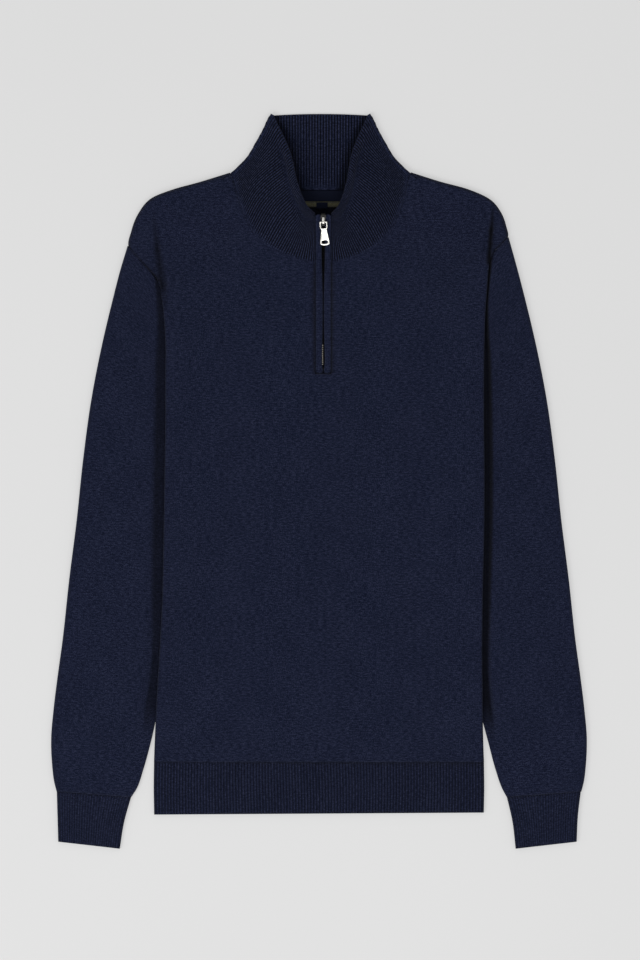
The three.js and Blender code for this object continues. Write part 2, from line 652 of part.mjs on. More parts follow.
// The zip. Its long pieces follow the zip's line, each a bar with its own width and depth below it.
function barAlongZip(name, box, endsY, colour, crown = 0) {
  const inside = zipLine.map((row) => row.y).filter((y) => y > endsY[0] + 2 && y < endsY[1] - 2);
  const places = [endsY[0], ...inside, endsY[1]];
  const steps = 4;
  const across = Array.from({ length: steps + 1 }, (_, k) => k / steps);
  const top = places.map((y) =>
    across.map((share) => {
      const bulge = crown * (1 - (2 * share - 1) ** 4);
      const x = mix(box.from, box.to, share);
      return vec(zipX + x, y, levelAt(zipLine, y) - crown - box.top + bulge);
    }),
  );
  const bottom = places.map((y) =>
    across.map((share) =>
      vec(zipX + mix(box.from, box.to, share), y, levelAt(zipLine, y) - box.bottom)),
  );
  return panelOf(name, top, bottom, () => true, colour);
}

function solidOf(geometry) {
  const bare = geometry.clone();
  bare.deleteAttribute("normal");
  bare.deleteAttribute("uv");
  const merged = mergeVertices(bare, 1e-4);
  const vertProperties = new Float32Array(merged.attributes.position.array);
  const triVerts = new Uint32Array(merged.index.array);
  return new wasm.Manifold(new wasm.Mesh({ numProp: 3, vertProperties, triVerts }));
}

function metalMesh(name, solid) {
  const { vertProperties, triVerts } = solid.getMesh();
  const geometry = new THREE.BufferGeometry();
  geometry.setAttribute("position", new THREE.BufferAttribute(vertProperties, 3));
  geometry.setIndex(new THREE.BufferAttribute(triVerts, 1));
  geometry.computeVertexNormals();
  const look = { color: colours.metal, roughness: 0.3, metalness: 1 };
  const material = new THREE.MeshStandardMaterial(look);
  const mesh = new THREE.Mesh(geometry, material);
  mesh.name = name;
  return mesh;
}

function slab(outline, low, high) {
  const shape = new THREE.Shape(outline.map(([x, y]) => new THREE.Vector2(x, y)));
  const geometry = new THREE.ExtrudeGeometry(shape, { depth: high - low, bevelEnabled: false });
  return solidOf(geometry.translate(0, 0, low));
}

// A block in the slider's middle plane: its outline is drawn along the zip and up.
function uprightSlab(outline, half) {
  const shape = new THREE.Shape(outline.map(([y, z]) => new THREE.Vector2(y, z)));
  const geometry = new THREE.ExtrudeGeometry(shape, { depth: 2 * half, bevelEnabled: false });
  geometry.translate(0, 0, -half);
  geometry.rotateY(Math.PI / 2).rotateX(Math.PI / 2);
  return solidOf(geometry);
}

function slider() {
  const high = sliderLow + sliderLength;
  const nose = 1.4;
  const outline = [
    [-sliderHalf + nose, sliderLow], [sliderHalf - nose, sliderLow], [sliderHalf, sliderLow + nose],
    [sliderHalf, high - nose], [sliderHalf - nose, high], [-sliderHalf + nose, high],
    [-sliderHalf, high - nose], [-sliderHalf, sliderLow + nose],
  ];
  const depth = stripWall + tapeWall + 2 * gap + 0.1;
  const top = slab(outline, gap, gap + sliderPlate);
  const under = slab(outline, -depth - gap - sliderPlate, -depth - gap);
  const post = uprightSlab(
    [[postEnds.low, -depth - gap - 0.2], [postEnds.high, -depth - gap - 0.2],
      [postEnds.high, gap + 0.2], [postEnds.low, gap + 0.2]], postHalf);
  const base = gap + sliderPlate - 0.1;
  const { low: winLow, high: winHigh, top: winTop } = bridgeWindow;
  const bridge = uprightSlab(
    [[bridgeEnds.low, base], [winLow, base], [winLow, winTop], [winHigh, winTop], [winHigh, base],
      [bridgeEnds.high, base], [bridgeEnds.high, bridgeTop - 1], [bridgeEnds.high - 1, bridgeTop],
      [bridgeEnds.low + 0.6, bridgeTop], [bridgeEnds.low, bridgeTop - 0.6]], bridgeHalf);
  return metalMesh("zip_slider", top.add(under).add(post).add(bridge));
}

function pull() {
  const { half, holeHalf, bar, end } = pullEye;
  const { topHalf, bottomHalf, top, bottom } = pullPlate;
  const outline = new THREE.Shape();
  outline.moveTo(-half, -1.5);
  outline.quadraticCurveTo(-half, bar, -half + 1.2, bar);
  outline.lineTo(half - 1.2, bar);
  outline.quadraticCurveTo(half, bar, half, -1.5);
  outline.lineTo(half, -4.8);
  outline.quadraticCurveTo(half, -end, topHalf, -top);
  outline.lineTo(bottomHalf, -bottom + 2.6);
  outline.quadraticCurveTo(bottomHalf, -bottom, 0, -bottom);
  outline.quadraticCurveTo(-bottomHalf, -bottom, -bottomHalf, -bottom + 2.6);
  outline.lineTo(-topHalf, -top);
  outline.quadraticCurveTo(-half, -end, -half, -4.8);
  const options = { depth: pullWall, bevelEnabled: false, curveSegments: 5 };
  const plate = solidOf(new THREE.ExtrudeGeometry(outline, options).translate(0, 0, -pullWall / 2));
  const eye = slab([
    [-holeHalf + 0.6, -bar], [-holeHalf, -1.5], [-holeHalf, -5], [-holeHalf + 1.3, -end],
    [holeHalf - 1.3, -end], [holeHalf, -5], [holeHalf, -1.5], [holeHalf - 0.6, -bar],
  ], -pullWall, pullWall);
  const drill = new THREE.CylinderGeometry(1, 1, 2 * pullWall, 16).rotateX(Math.PI / 2);
  drill.scale(pullHole.halfX, pullHole.halfY, 1).translate(0, -pullHole.y, 0);
  return metalMesh("pull_tab", plate.subtract(eye).subtract(solidOf(drill)));
}

function zip() {
  const group = new THREE.Group();
  const stripEnds = [placketEndY + gap, collarRimY];
  const strip = { top: 0, bottom: stripWall };
  const tape = { top: stripWall + gap, bottom: stripWall + gap + tapeWall };
  const tapeInner = chainHalf + gap;
  const chain = { from: -chainHalf, to: chainHalf, top: chainTop, bottom: tape.bottom };
  const chainEnds = [zipEndY + gap, pivotY + postEnds.low * Math.cos(slopeAngle) - 2 * gap];
  [["left", -1], ["right", 1]].forEach(([side, way]) => {
    const ends = (near, far) => {
      const [from, to] = [way * near, way * far].sort((a, b) => a - b);
      return { from, to };
    };
    const facing = { ...strip, ...ends(stripInner, stripOuter) };
    group.add(
      barAlongZip("placket_" + side, facing, stripEnds, colours.jersey, 0.5),
      barAlongZip("zip_tape_" + side, { ...tape, ...ends(tapeInner, stripOuter - 0.4) },
        [zipEndY - 4, collarRimY - 2], colours.tape),
    );
  });
  group.add(barAlongZip("zip_chain", chain, chainEnds, colours.metal));
  const stop = { ...chain, top: chainTop + 0.2 };
  group.add(barAlongZip("zip_bottom_stop", stop, [zipEndY - 3.6, zipEndY], colours.metal));
  const hardware = new THREE.Group();
  hardware.position.set(zipX, pivotY, levelAt(zipLine, pivotY));
  hardware.rotation.x = slopeAngle;
  const tab = pull();
  tab.position.z = pivotLevel;
  tab.rotation.x = THREE.MathUtils.degToRad(pullTilt);
  hardware.add(slider(), tab);
  group.add(hardware);
  return group;
}

const slopeAngle = Math.atan2(
  levelAt(zipLine, pivotY) - levelAt(zipLine, pivotY - 20), 20);

// The labels lie on the inside of the back.
function flatPiece(name, size, colour) {
  const { half, top, bottom, level, wall } = size;
  const geometry = new THREE.BoxGeometry(2 * half, top - bottom, wall);
  const mesh = new THREE.Mesh(geometry, clothMaterial(colour));
  mesh.position.set(neckX + 1.6, (top + bottom) / 2, level + wall / 2);
  mesh.name = name;
  return mesh;
}

const sweater = new THREE.Group();
sweater.add(
  frontBody(),
  backBody(),
  sleeve("left"),
  sleeve("right"),
  cuff("left"),
  cuff("right"),
  hem(),
  collar(),
  zip(),
  flatPiece("neck_label", label, colours.label),
  flatPiece("neck_tape", neckTape, colours.olive),
  flatPiece("size_label", sizeLabel, colours.label),
);

export default sweater;
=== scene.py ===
import math

import bmesh
import bpy
import numpy as np
from mathutils import Matrix, Vector


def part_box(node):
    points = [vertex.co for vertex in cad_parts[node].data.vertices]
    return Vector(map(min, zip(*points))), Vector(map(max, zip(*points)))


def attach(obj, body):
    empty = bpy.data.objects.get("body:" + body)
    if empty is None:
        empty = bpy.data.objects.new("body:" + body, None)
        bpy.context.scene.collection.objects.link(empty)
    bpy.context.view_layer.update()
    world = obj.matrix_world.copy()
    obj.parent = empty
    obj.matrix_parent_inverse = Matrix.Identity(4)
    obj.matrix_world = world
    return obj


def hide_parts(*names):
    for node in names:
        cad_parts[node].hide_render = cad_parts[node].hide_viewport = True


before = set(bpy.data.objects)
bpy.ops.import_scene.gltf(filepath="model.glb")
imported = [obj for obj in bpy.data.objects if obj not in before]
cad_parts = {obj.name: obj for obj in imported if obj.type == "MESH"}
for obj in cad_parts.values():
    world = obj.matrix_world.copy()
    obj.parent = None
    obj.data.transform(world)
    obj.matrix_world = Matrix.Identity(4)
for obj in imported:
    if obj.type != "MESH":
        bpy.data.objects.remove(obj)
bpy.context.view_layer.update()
millimetre = 0.001
print("Frame loaded:", len(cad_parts), "solids")


ways = {"left": -1, "right": 1}


# Rows of a table, each a dictionary with the named columns
def rowsOf(names, rows):
    return [dict(zip(names.split(), row)) for row in rows]


# Helpers for numbers and curves
def mix(a, b, t):
    return a + (b - a) * t


def ease(t):
    t = np.clip(t, 0, 1)
    return t * t * (3 - 2 * t)


def bell(distance, width):
    return np.exp(-((distance / width) ** 2))


def column(rows, name):
    return np.array([row[name] for row in rows], float)


def steps(start, end, pitch):
    return np.linspace(start, end, max(2, int(round(abs(end - start) / pitch)) + 1))


def runOf(points):
    return np.concatenate([[0], np.cumsum(np.linalg.norm(np.diff(points, axis=0), axis=1))])


def finer(shares, parts):
    shares = np.asarray(shares, float)
    return np.interp(np.arange(0, len(shares) - 1 + 0.5 / parts, 1 / parts), np.arange(len(shares)), shares)


# A smooth line through a table's values, at any places between its rows
def smoothThrough(places, values, at):
    places, values, at = (np.asarray(x, float) for x in (places, values, at))
    width = np.diff(places)
    shape = (-1,) + (1,) * (values.ndim - 1)
    slope = np.diff(values, axis=0) / width.reshape(shape)
    tangent = np.concatenate([slope[:1], slope[:-1], slope[-1:]])[: len(values)].copy()
    before, after = width[:-1].reshape(shape), width[1:].reshape(shape)
    tangent[1:-1] = (slope[:-1] * after + slope[1:] * before) / (before + after)
    tangent[0], tangent[-1] = slope[0], slope[-1]
    k = np.clip(np.searchsorted(places, at, side="right") - 1, 0, len(width) - 1)
    t = ((at - places[k]) / width[k]).reshape(shape)
    w = width[k].reshape(shape)
    return (
        (2 * t**3 - 3 * t**2 + 1) * values[k]
        + (t**3 - 2 * t**2 + t) * w * tangent[k]
        + (3 * t**2 - 2 * t**3) * values[k + 1]
        + (t**3 - t**2) * w * tangent[k + 1]
    )


# The part's own curve: an even spline through its points, at shares from 0 to 1
def curveThrough(points, t):
    points = np.asarray(points, float)
    full = np.vstack([2 * points[0] - points[1], points, 2 * points[-1] - points[-2]])
    place = np.clip(np.asarray(t, float), 0, 1) * (len(points) - 1)
    k = np.minimum(place.astype(int), len(points) - 2)
    w = (place - k)[:, None]
    a, b, c, d = full[k], full[k + 1], full[k + 2], full[k + 3]
    return 0.5 * (2 * b + (c - a) * w + (2 * a - 5 * b + 4 * c - d) * w**2 + (3 * b - a - 3 * c + d) * w**3)


# Waves that never repeat evenly, for the small unevenness of cloth laid by hand
def uneven(x, y, size, seed):
    chance = np.random.default_rng(seed)
    total = np.zeros(np.broadcast(x, y).shape)
    for _ in range(7):
        angle, phase = chance.uniform(0, 2 * np.pi, 2)
        wave = size * chance.uniform(0.7, 1.6)
        total = total + np.sin((x * np.cos(angle) + y * np.sin(angle)) * 2 * np.pi / wave + phase)
    return total / 7


# Helpers for meshes. A grid is rows by columns of points, and cloth gives each its place in the knit.
def gridFaces(rows, columns, closed=False, kept=None):
    i, j = np.meshgrid(np.arange(rows - 1), np.arange(columns if closed else columns - 1), indexing="ij")
    here, above, onward = i * columns, (i + 1) * columns, (j + 1) % columns
    faces = np.stack([here + j, here + onward, above + onward, above + j], axis=-1)
    return faces[kept] if kept is not None else faces.reshape(-1, 4)


def linked(name, data):
    piece = bpy.data.objects.new(name, data)
    bpy.context.scene.collection.objects.link(piece)
    return piece


def setPlaces(mesh, flat):
    places = np.zeros((len(mesh.vertices), 3))
    places[:, :2] = flat * millimetre
    mesh.attributes.new("cloth", "FLOAT_VECTOR", "POINT").data.foreach_set("vector", places.ravel())


def meshPiece(name, points, faces, material, cloth=None, paintedShade=None):
    points = np.asarray(points, float).reshape(-1, 3)
    faces = np.asarray(faces)
    used, renumbered = np.unique(faces, return_inverse=True)
    mesh = bpy.data.meshes.new(name)
    mesh.from_pydata((points[used] * millimetre).tolist(), [], renumbered.reshape(faces.shape).tolist())
    if cloth is not None:
        setPlaces(mesh, np.asarray(cloth, float).reshape(-1, 2)[used])
    # painted shade: how much each point's colour is darkened, where little light would reach it
    if paintedShade is not None:
        dark = mesh.attributes.new("paintedShade", "FLOAT", "POINT")
        dark.data.foreach_set("value", np.asarray(paintedShade, float).reshape(-1)[used])
    mesh.polygons.foreach_set("use_smooth", [True] * len(mesh.polygons))
    mesh.materials.append(material)
    mesh.update()
    return linked(name, mesh)


def turnOutward(points, faces):
    a, b, c = (points.reshape(-1, 3)[faces[:, k]] for k in (0, 1, 2))
    d = points.reshape(-1, 3)[faces[:, 3]]
    volume = np.sum(a * np.cross(b, c)) + np.sum(a * np.cross(c, d))
    return faces[:, ::-1] if volume < 0 else faces


def thicken(piece, wall):
    shell = piece.modifiers.new("wall", "SOLIDIFY")
    shell.thickness = wall * millimetre
    shell.offset = -1
    return piece


# How far along the cloth each point lies, so that the knit follows it round folds
def runAlong(grid, axis):
    step = np.linalg.norm(np.diff(grid, axis=axis), axis=-1)
    start = np.zeros_like(step.take([0], axis=axis))
    return np.concatenate([start, np.cumsum(step, axis=axis)], axis=axis)


def dress(piece, body, slot, *nodes):
    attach(piece, body)
    if nodes:
        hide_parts(*nodes)
    return piece


# Helpers for materials. A node's inputs are values, or outputs of other nodes.
def addNode(tree, kind, inputs, **settings):
    node = tree.nodes.new("ShaderNode" + kind)
    for name, value in settings.items():
        setattr(node, name, value)
    for place, value in inputs.items():
        if isinstance(value, bpy.types.NodeSocket):
            tree.links.new(value, node.inputs[place])
        else:
            node.inputs[place].default_value = value
    return node


def calc(tree, operation, *values):
    return addNode(tree, "Math", dict(enumerate(values)), operation=operation).outputs[0]


def attributeOf(tree, name, output):
    return addNode(tree, "Attribute", {}, attribute_name=name).outputs[output]


def noiseAt(tree, place, stretch, scale, detail, roughness=0.5):
    scales = (stretch[0] * scale, stretch[1] * scale, scale)
    scaled = addNode(tree, "Mapping", {"Scale": scales, "Vector": place}).outputs[0]
    look = {"Scale": 1, "Detail": detail, "Roughness": roughness, "Vector": scaled}
    return addNode(tree, "TexNoise", look).outputs[0]


def objectPlace(tree):
    return addNode(tree, "TexCoord", {}).outputs["Object"]


def rampOf(tree, value, stops):
    ramp = addNode(tree, "ValToRGB", {0: value})
    for k, (place, colour) in enumerate(stops):
        stop = ramp.color_ramp.elements[k] if k < 2 else ramp.color_ramp.elements.new(place)
        stop.position = place
        stop.color = (*colour, 1)
    return ramp.outputs[0]


def bumpOf(tree, shader, height, distance):
    bump = addNode(tree, "Bump", {"Strength": 1.0, "Distance": distance, "Height": height})
    tree.links.new(bump.outputs[0], shader.inputs["Normal"])


def newMaterial(name, **sockets):
    material = bpy.data.materials.new(name)
    material.use_nodes = True
    shader = material.node_tree.nodes["Principled BSDF"]
    for socket, value in sockets.items():
        shader.inputs[socket.replace("_", " ")].default_value = value
    return material, material.node_tree, shader


# The navy melange knit. Stitches are small arrowheads, and the yarn mixes dark and light fibres.
navyKnit = {
    "wale": 0.00150,  # between two columns of stitches
    "course": 0.00112,  # between two rows of stitches
    "slant": 0.9,
    "deep": (0.0016, 0.0030, 0.0112),
    "middle": (0.0067, 0.0098, 0.0272),
    "light": (0.0250, 0.0300, 0.0640),
    "melange": [
        {"stretch": (0.26, 0.85), "scale": 780, "strength": 1.7},  # streaks along the courses
        {"stretch": (0.8, 0.9), "scale": 1150, "strength": 2.5},  # single fibres
        {"stretch": (1.0, 1.0), "scale": 24, "strength": 0.25},
    ],
    "stitchTone": 0.06,
    # how far painted shade darkens the knit's colour
    "paintedShadeDepth": 0.9,
    "bump": 0.00022,
}


def knitMaterial(name, shade=1.0, wale=navyKnit["wale"]):
    material, tree, shader = newMaterial(
        name, Roughness=0.95, Specular_IOR_Level=0.05, Sheen_Weight=0.03, Sheen_Roughness=0.6
    )
    place = attributeOf(tree, "cloth", "Vector")
    split = addNode(tree, "SeparateXYZ", {0: place})
    across = calc(tree, "DIVIDE", split.outputs[0], wale)
    side = calc(tree, "ABSOLUTE", calc(tree, "SUBTRACT", calc(tree, "FRACT", across), 0.5))
    slant = calc(tree, "MULTIPLY", side, navyKnit["slant"])
    along = calc(tree, "ADD", calc(tree, "DIVIDE", split.outputs[1], navyKnit["course"]), slant)
    yarn = calc(tree, "SINE", calc(tree, "MULTIPLY", along, 2 * math.pi))
    groove = calc(tree, "POWER", calc(tree, "MULTIPLY", side, 2), 4)
    stitchHeight = calc(tree, "SUBTRACT", calc(tree, "MULTIPLY", yarn, 0.35), groove)
    tone = calc(tree, "MULTIPLY", stitchHeight, navyKnit["stitchTone"])
    flecks = []
    for layer in navyKnit["melange"]:
        noise = noiseAt(tree, place, layer["stretch"], layer["scale"], 2, 0.7)
        flecks.append(noise)
        part = calc(tree, "MULTIPLY", calc(tree, "SUBTRACT", noise, 0.5), layer["strength"])
        tone = calc(tree, "ADD", tone, part)
    tone = calc(tree, "ADD", tone, 0.5)
    fibres = [(0.05, "deep"), (0.5, "middle"), (0.98, "light")]
    stops = [(at, tuple(c * shade for c in navyKnit[fibre])) for at, fibre in fibres]
    colour = rampOf(tree, tone, stops)
    # painted shade: the colour is darkened by each point's shade value, in rib grooves, at folds, creases and
    # gaps between parts
    paintedShade = attributeOf(tree, "paintedShade", "Fac")  # light hardly reaches furrows and folds
    lit = calc(tree, "SUBTRACT", 1.0, calc(tree, "MULTIPLY", paintedShade, navyKnit["paintedShadeDepth"]))
    shaded = addNode(tree, "Mix", {0: 1, 6: colour, 7: lit}, data_type="RGBA", blend_type="MULTIPLY")
    tree.links.new(shaded.outputs[2], shader.inputs["Base Color"])
    height = calc(tree, "ADD", stitchHeight, calc(tree, "MULTIPLY", flecks[1], 0.8))
    bumpOf(tree, shader, height, navyKnit["bump"])
    return material


# painted shade: the back's inside is the knit at 0.3 of its tone, partly the knit's darker reverse and partly
# the shade inside the garment
insidePaintedShadeKnit = knitMaterial("navyKnitReversePaintedShade", shade=0.3)
jerseyKnit = knitMaterial("navyJerseyKnit")
# the ribbed knits are lighter in tone, to offset the painted shade in their rib grooves
ribKnit = knitMaterial("navyRibKnit", shade=1.7, wale=0.0016)
bandKnit = knitMaterial("navyBandKnit", shade=1.22, wale=0.0016)

# Woven trims: the zip's tape, the labels and the olive neck tape
wovenLooks = {
    "zipTapeWeave": {"dark": (0.002, 0.0022, 0.0035), "light": (0.008, 0.009, 0.013),
                     "thread": 0.0005, "bump": 0.00012},
    "labelWeave": {"dark": (0.0035, 0.0048, 0.0115), "light": (0.0085, 0.0108, 0.0225),
                   "thread": 0.00035, "bump": 0.00005},
    "oliveWeave": {"dark": (0.045, 0.043, 0.026), "light": (0.125, 0.120, 0.078),
                   "thread": 0.0006, "bump": 0.00015},
}


def wovenMaterial(name):
    look = wovenLooks[name]
    material, tree, shader = newMaterial(name, Roughness=0.9, Specular_IOR_Level=0.04)
    place = objectPlace(tree)
    split = addNode(tree, "SeparateXYZ", {0: place})
    turns = [calc(tree, "MULTIPLY", split.outputs[k], math.pi / look["thread"]) for k in (0, 1)]
    weave = calc(tree, "MULTIPLY", *(calc(tree, "SINE", turn) for turn in turns))
    fibre = noiseAt(tree, place, (1, 1), 1500, 2)
    tone = calc(tree, "ADD", calc(tree, "MULTIPLY", weave, 0.25), fibre)
    stops = [(0.25, look["dark"]), (0.8, look["light"])]
    tree.links.new(rampOf(tree, tone, stops), shader.inputs["Base Color"])
    bumpOf(tree, shader, weave, look["bump"])
    return material


def threadMaterial(name, dark, light):
    material, tree, shader = newMaterial(name, Roughness=0.7, Specular_IOR_Level=0.2)
    place = objectPlace(tree)
    twist = noiseAt(tree, place, (1, 4), 1800, 2)
    tree.links.new(rampOf(tree, twist, [(0.3, dark), (0.7, light)]), shader.inputs["Base Color"])
    bumpOf(tree, shader, twist, 0.0001)
    return material


def nickelMaterial(name, tone, roughness):
    material, tree, shader = newMaterial(name, Metallic=1.0)
    place = objectPlace(tree)
    wear = noiseAt(tree, place, (1, 1), 900, 3)
    polish = addNode(tree, "MapRange", {"To Min": roughness * 0.7, "To Max": roughness * 1.4, "Value": wear})
    tree.links.new(polish.outputs[0], shader.inputs["Roughness"])
    stops = [(0.3, tuple(c * 0.9 for c in tone)), (0.7, tone)]
    tree.links.new(rampOf(tree, wear, stops), shader.inputs["Base Color"])
    bumpOf(tree, shader, wear, 0.00002)
    return material


tapeWeave, labelWeave, oliveWeave = (wovenMaterial(name) for name in wovenLooks)
seamThread = threadMaterial("navySeamThread", (0.006, 0.008, 0.018), (0.017, 0.021, 0.040))
nickel = nickelMaterial("polishedNickel", (0.78, 0.76, 0.72), 0.16)
# painted shade: the slider's plates are nickel made almost black, for the shade they lie in
sliderNickelPaintedShade = nickelMaterial("sliderNickelPaintedShade", (0.045, 0.044, 0.042), 0.3)
teethMetal = nickelMaterial("zipTeethNickel", (0.5, 0.47, 0.42), 0.3)
# painted shade: the teeth's metal made near black, for teeth and the stop that lie in the channel's shade
shadedTeethPaint = nickelMaterial("zipTeethPaintedShade", (0.009, 0.009, 0.009), 0.45)
print("Materials made")

# The main lines that several pieces share, repeated from the part's source
lines = {
    "gap": 0.3,
    "seamLap": 0.5,
    "zipX": 4.7,
    "neckX": 1.7,
    "placketEndY": 118,
    "yokeY": 155,
    "neckFrontY": 238.7,
    "stripOuter": 8.7,
}
zipLine = rowsOf("y z", [
    (100, 7.8),
    (118, 7.8),
    (155, 8.2),
    (200, 9.8),
    (238.7, 13),
    (254, 16.2),
    (270, 20.2),
    (286, 24.2),
    (302, 28.2),
])


def zipLevel(y):
    return np.interp(y, column(zipLine, "y"), column(zipLine, "z"))


# The front, from its left side seam under the fold, over the chest, to the right side seam
front = {
    # painted shade: how dark the folded edges and the cloth beside the zip strips are
    "edgePaintedShade": 0.55,
    "stripPaintedShade": 0.45,
    "wall": 1.7,
    "level": 7.2,
    "edgeRise": 70,
    "foldReach": 2.4,
    "shoulderReach": 4.2,
    "foldSteps": 9,
    "under": [22, 20.5, 19, 17.8, 16.5, 15.2, 13.8, 12.5, 10, 7.5, 5],
    "underDrop": [12.5, 20.5],
    "across": [(0, 0.2, 40), (0.2, 1, 30)],  # from the fold to the placket, finer where the creases are
    "chestPitch": 3.2,
    "yokeParts": 8,
    "yokePitch": 20,  # the length that a yoke row stands for when rows are smoothed
    "foldedRows": {"left": 2, "right": 3},
    "sides": rowsOf("y left right top lip", [
        (-309.2, -181.5, 181.5, 6.2, 0),
        (-290, -180.8, 180.8, 6.6, 0.8),
        (-268, -179.8, 180.2, 9, 4.5),
        (-241, -178.6, 180, 9.5, 4.8),
        (-197, -176, 179.5, 9.6, 4.8),
        (-131, -172.5, 180, 9.6, 4.8),
        (-65, -171, 181.5, 9.6, 4.8),
        (1, -170, 182, 9.6, 4.8),
        (67, -169, 181.5, 9.6, 4.8),
        (118, -169, 181.5, 9.6, 4.8),
        (155, -169, 182, 9.6, 4.8),
    ]),
    # a row with a share of the armhole's seam, 0 at the shoulder, takes its place from there
    "left": rowsOf("x y top lip curl seam", [
        (-171, 186, 9.5, 4.8, 1),
        (-173.8, 206, 9.4, 4.8, 1),
        (None, None, 9, 4.8, 0, 0.72),
        (None, None, 8, 4.8, 0, 0.36),
        (None, None, 7.2, 0, 0.5, 0.03),
        (-206.5, 275, 7.4, 0, 0.5),
        (-199.5, 293, 7.6, 0, 0.5),
        (-186, 310, 7.8, 0, 0.5),
        (-161.5, 320.5, 8, 0, 0.5),
        (-131, 329, 8, 0, 0.5),
        (-98, 339.2, 8, 0, 0.5),
    ]),
    "right": rowsOf("x y top lip curl seam", [
        (183, 186, 9.5, 4.8, 1),
        (185, 212, 9.4, 4.8, 1),
        (186.8, 236, 9.2, 4.8, 1),
        (None, None, 8.4, 4.8, 0, 0.5),
        (None, None, 7.2, 0, 0.5, 0.04),
        (206, 280.5, 7.4, 0, 0.5),
        (200, 296, 7.6, 0, 0.5),
        (188, 310, 7.8, 0, 0.5),
        (164, 321, 8, 0, 0.5),
        (133, 329.5, 8, 0, 0.5),
        (101, 339.6, 8, 0, 0.5),
    ]),
    "neckSeam": rowsOf("half y z", [
        (9, 238.7, 12.6),
        (44, 250, 12),
        (72, 268.7, 11),
        (88.5, 303, 9.6),
        (98.6, 338, 8),
    ]),
    # soft troughs (below 0) and ridges: where each starts and ends, how wide and how deep there, and for some
    # how dark their painted shade is there
    "creases": rowsOf("from to wide deep dark", [
        ((-181.5, 292), (-177.5, 256), (2.2, 3.2), (-0.4, -1.6), (0.15, 0.65)),
        ((-177.5, 256), (-172.5, 216), (3.2, 5), (-1.6, -2.6), (0.65, 0.6)),
        ((-172.5, 216), (-171, 176), (5, 4.5), (-2.6, -0.6), (0.6, 0)),
        ((191.5, 299), (189.3, 276), (1.6, 2.3), (-0.6, -2.2), (0.45, 1)),
        ((189.3, 276), (186.8, 240), (2.3, 2.6), (-2.2, -3.0), (1, 1)),
        ((-172, 204), (-128, 168), (6, 11), (-0.5, 0.0)),
        ((180, 196), (142, 150), (6, 12), (-0.5, 0.0)),
        ((-164, -120), (-158, -262), (7, 10), (0.0, 0.5)),
        ((-146, -150), (-140, -285), (8, 10), (0.0, -0.45)),
        ((162, -170), (156, -280), (7, 9), (0.0, 0.45)),
        ((30, 118), (52, 70), (9, 14), (-0.3, 0.0)),
        ((-40, 228), (-78, 204), (8, 14), (-0.4, 0.0)),
        ((62, 232), (98, 206), (9, 13), (-0.4, 0.0)),
    ]),
    "waves": {"size": 120, "height": 0.35, "seed": 4},
    "gathers": {"pitch": 9, "height": 0.28, "reach": 16},  # small tucks above the hem band
}
armholes = {
    "left": {"shoulder": (-210.5, 258.5), "tuck": (-163.5, 207.5)},
    "right": {"shoulder": (208.5, 268), "tuck": (175.5, 237)},
}


def armholePoint(side, share, inset):
    shoulder, tuck = (np.array(armholes[side][end], float) for end in ("shoulder", "tuck"))
    along = (tuck - shoulder) / np.linalg.norm(tuck - shoulder)
    inward = np.array([-along[1], along[0]]) * -ways[side]
    return mix(shoulder, tuck, share) + inward * inset


def frontHalf(edge, inward, across):
    curl, reach = edge["curl"], front["foldReach"]
    middle, half = (edge["top"] + edge["lip"]) / 2, (edge["top"] - edge["lip"]) / 2
    if curl == 0.5:
        reach, middle, half = front["shoulderReach"], 0, edge["top"]

    def inFrom(distance, level):
        return [edge["x"] + inward[0] * distance, edge["y"] + inward[1] * distance, level]

    start, end = front["underDrop"]
    points = []
    for distance in front["under"]:
        down = np.clip((distance - start) / (end - start), 0, 1)
        points.append(inFrom(distance, edge["lip"] * (1 + np.cos(np.pi * down)) / 2))
    for k in range(front["foldSteps"]):
        turn = np.pi * curl * (1 - k / front["foldSteps"])
        flat = inFrom(reach * k / front["foldSteps"], edge["top"])
        curled = inFrom(reach * (1 - np.sin(turn)), middle + half * np.cos(turn))
        points.append(flat if curl == 0 else curled)
    return np.vstack([points, across(np.array(inFrom(reach, edge["top"])))])


def widthEase(distance):
    return 1 - ease(distance / front["edgeRise"])


acrossShares = np.unique(np.concatenate([np.linspace(a, b, n + 1) for a, b, n in front["across"]]))


def placketEdge(side):
    return lines["zipX"] + ways[side] * (lines["stripOuter"] + lines["gap"])


def chestRow(side, row):
    edge = {"x": row[side], "y": row["y"], "top": row["top"], "lip": row["lip"], "curl": 1}
    middle = zipLevel(row["y"]) - 0.5 if row["y"] > lines["placketEndY"] - 1 else front["level"]

    def across(start):
        x = mix(start[0], placketEdge(side), acrossShares)
        fall = widthEase(abs(x - start[0])) - widthEase(abs(placketEdge(side) - start[0]))
        return np.column_stack([x, np.full_like(x, row["y"]), middle + (row["top"] - middle) * fall])

    return frontHalf(edge, (-ways[side], 0), across)


def neckSeamPoints(side, shares):
    rows = front["neckSeam"]
    points = []
    for i, row in enumerate(rows):
        centre = mix(lines["zipX"], lines["neckX"], i / (len(rows) - 1))
        outward = 0 if i == 0 else lines["seamLap"]
        lift = lines["seamLap"] if i < 4 else 0
        points.append((centre + ways[side] * (row["half"] - outward), row["y"] + lift, row["z"]))
    return curveThrough(points, shares)


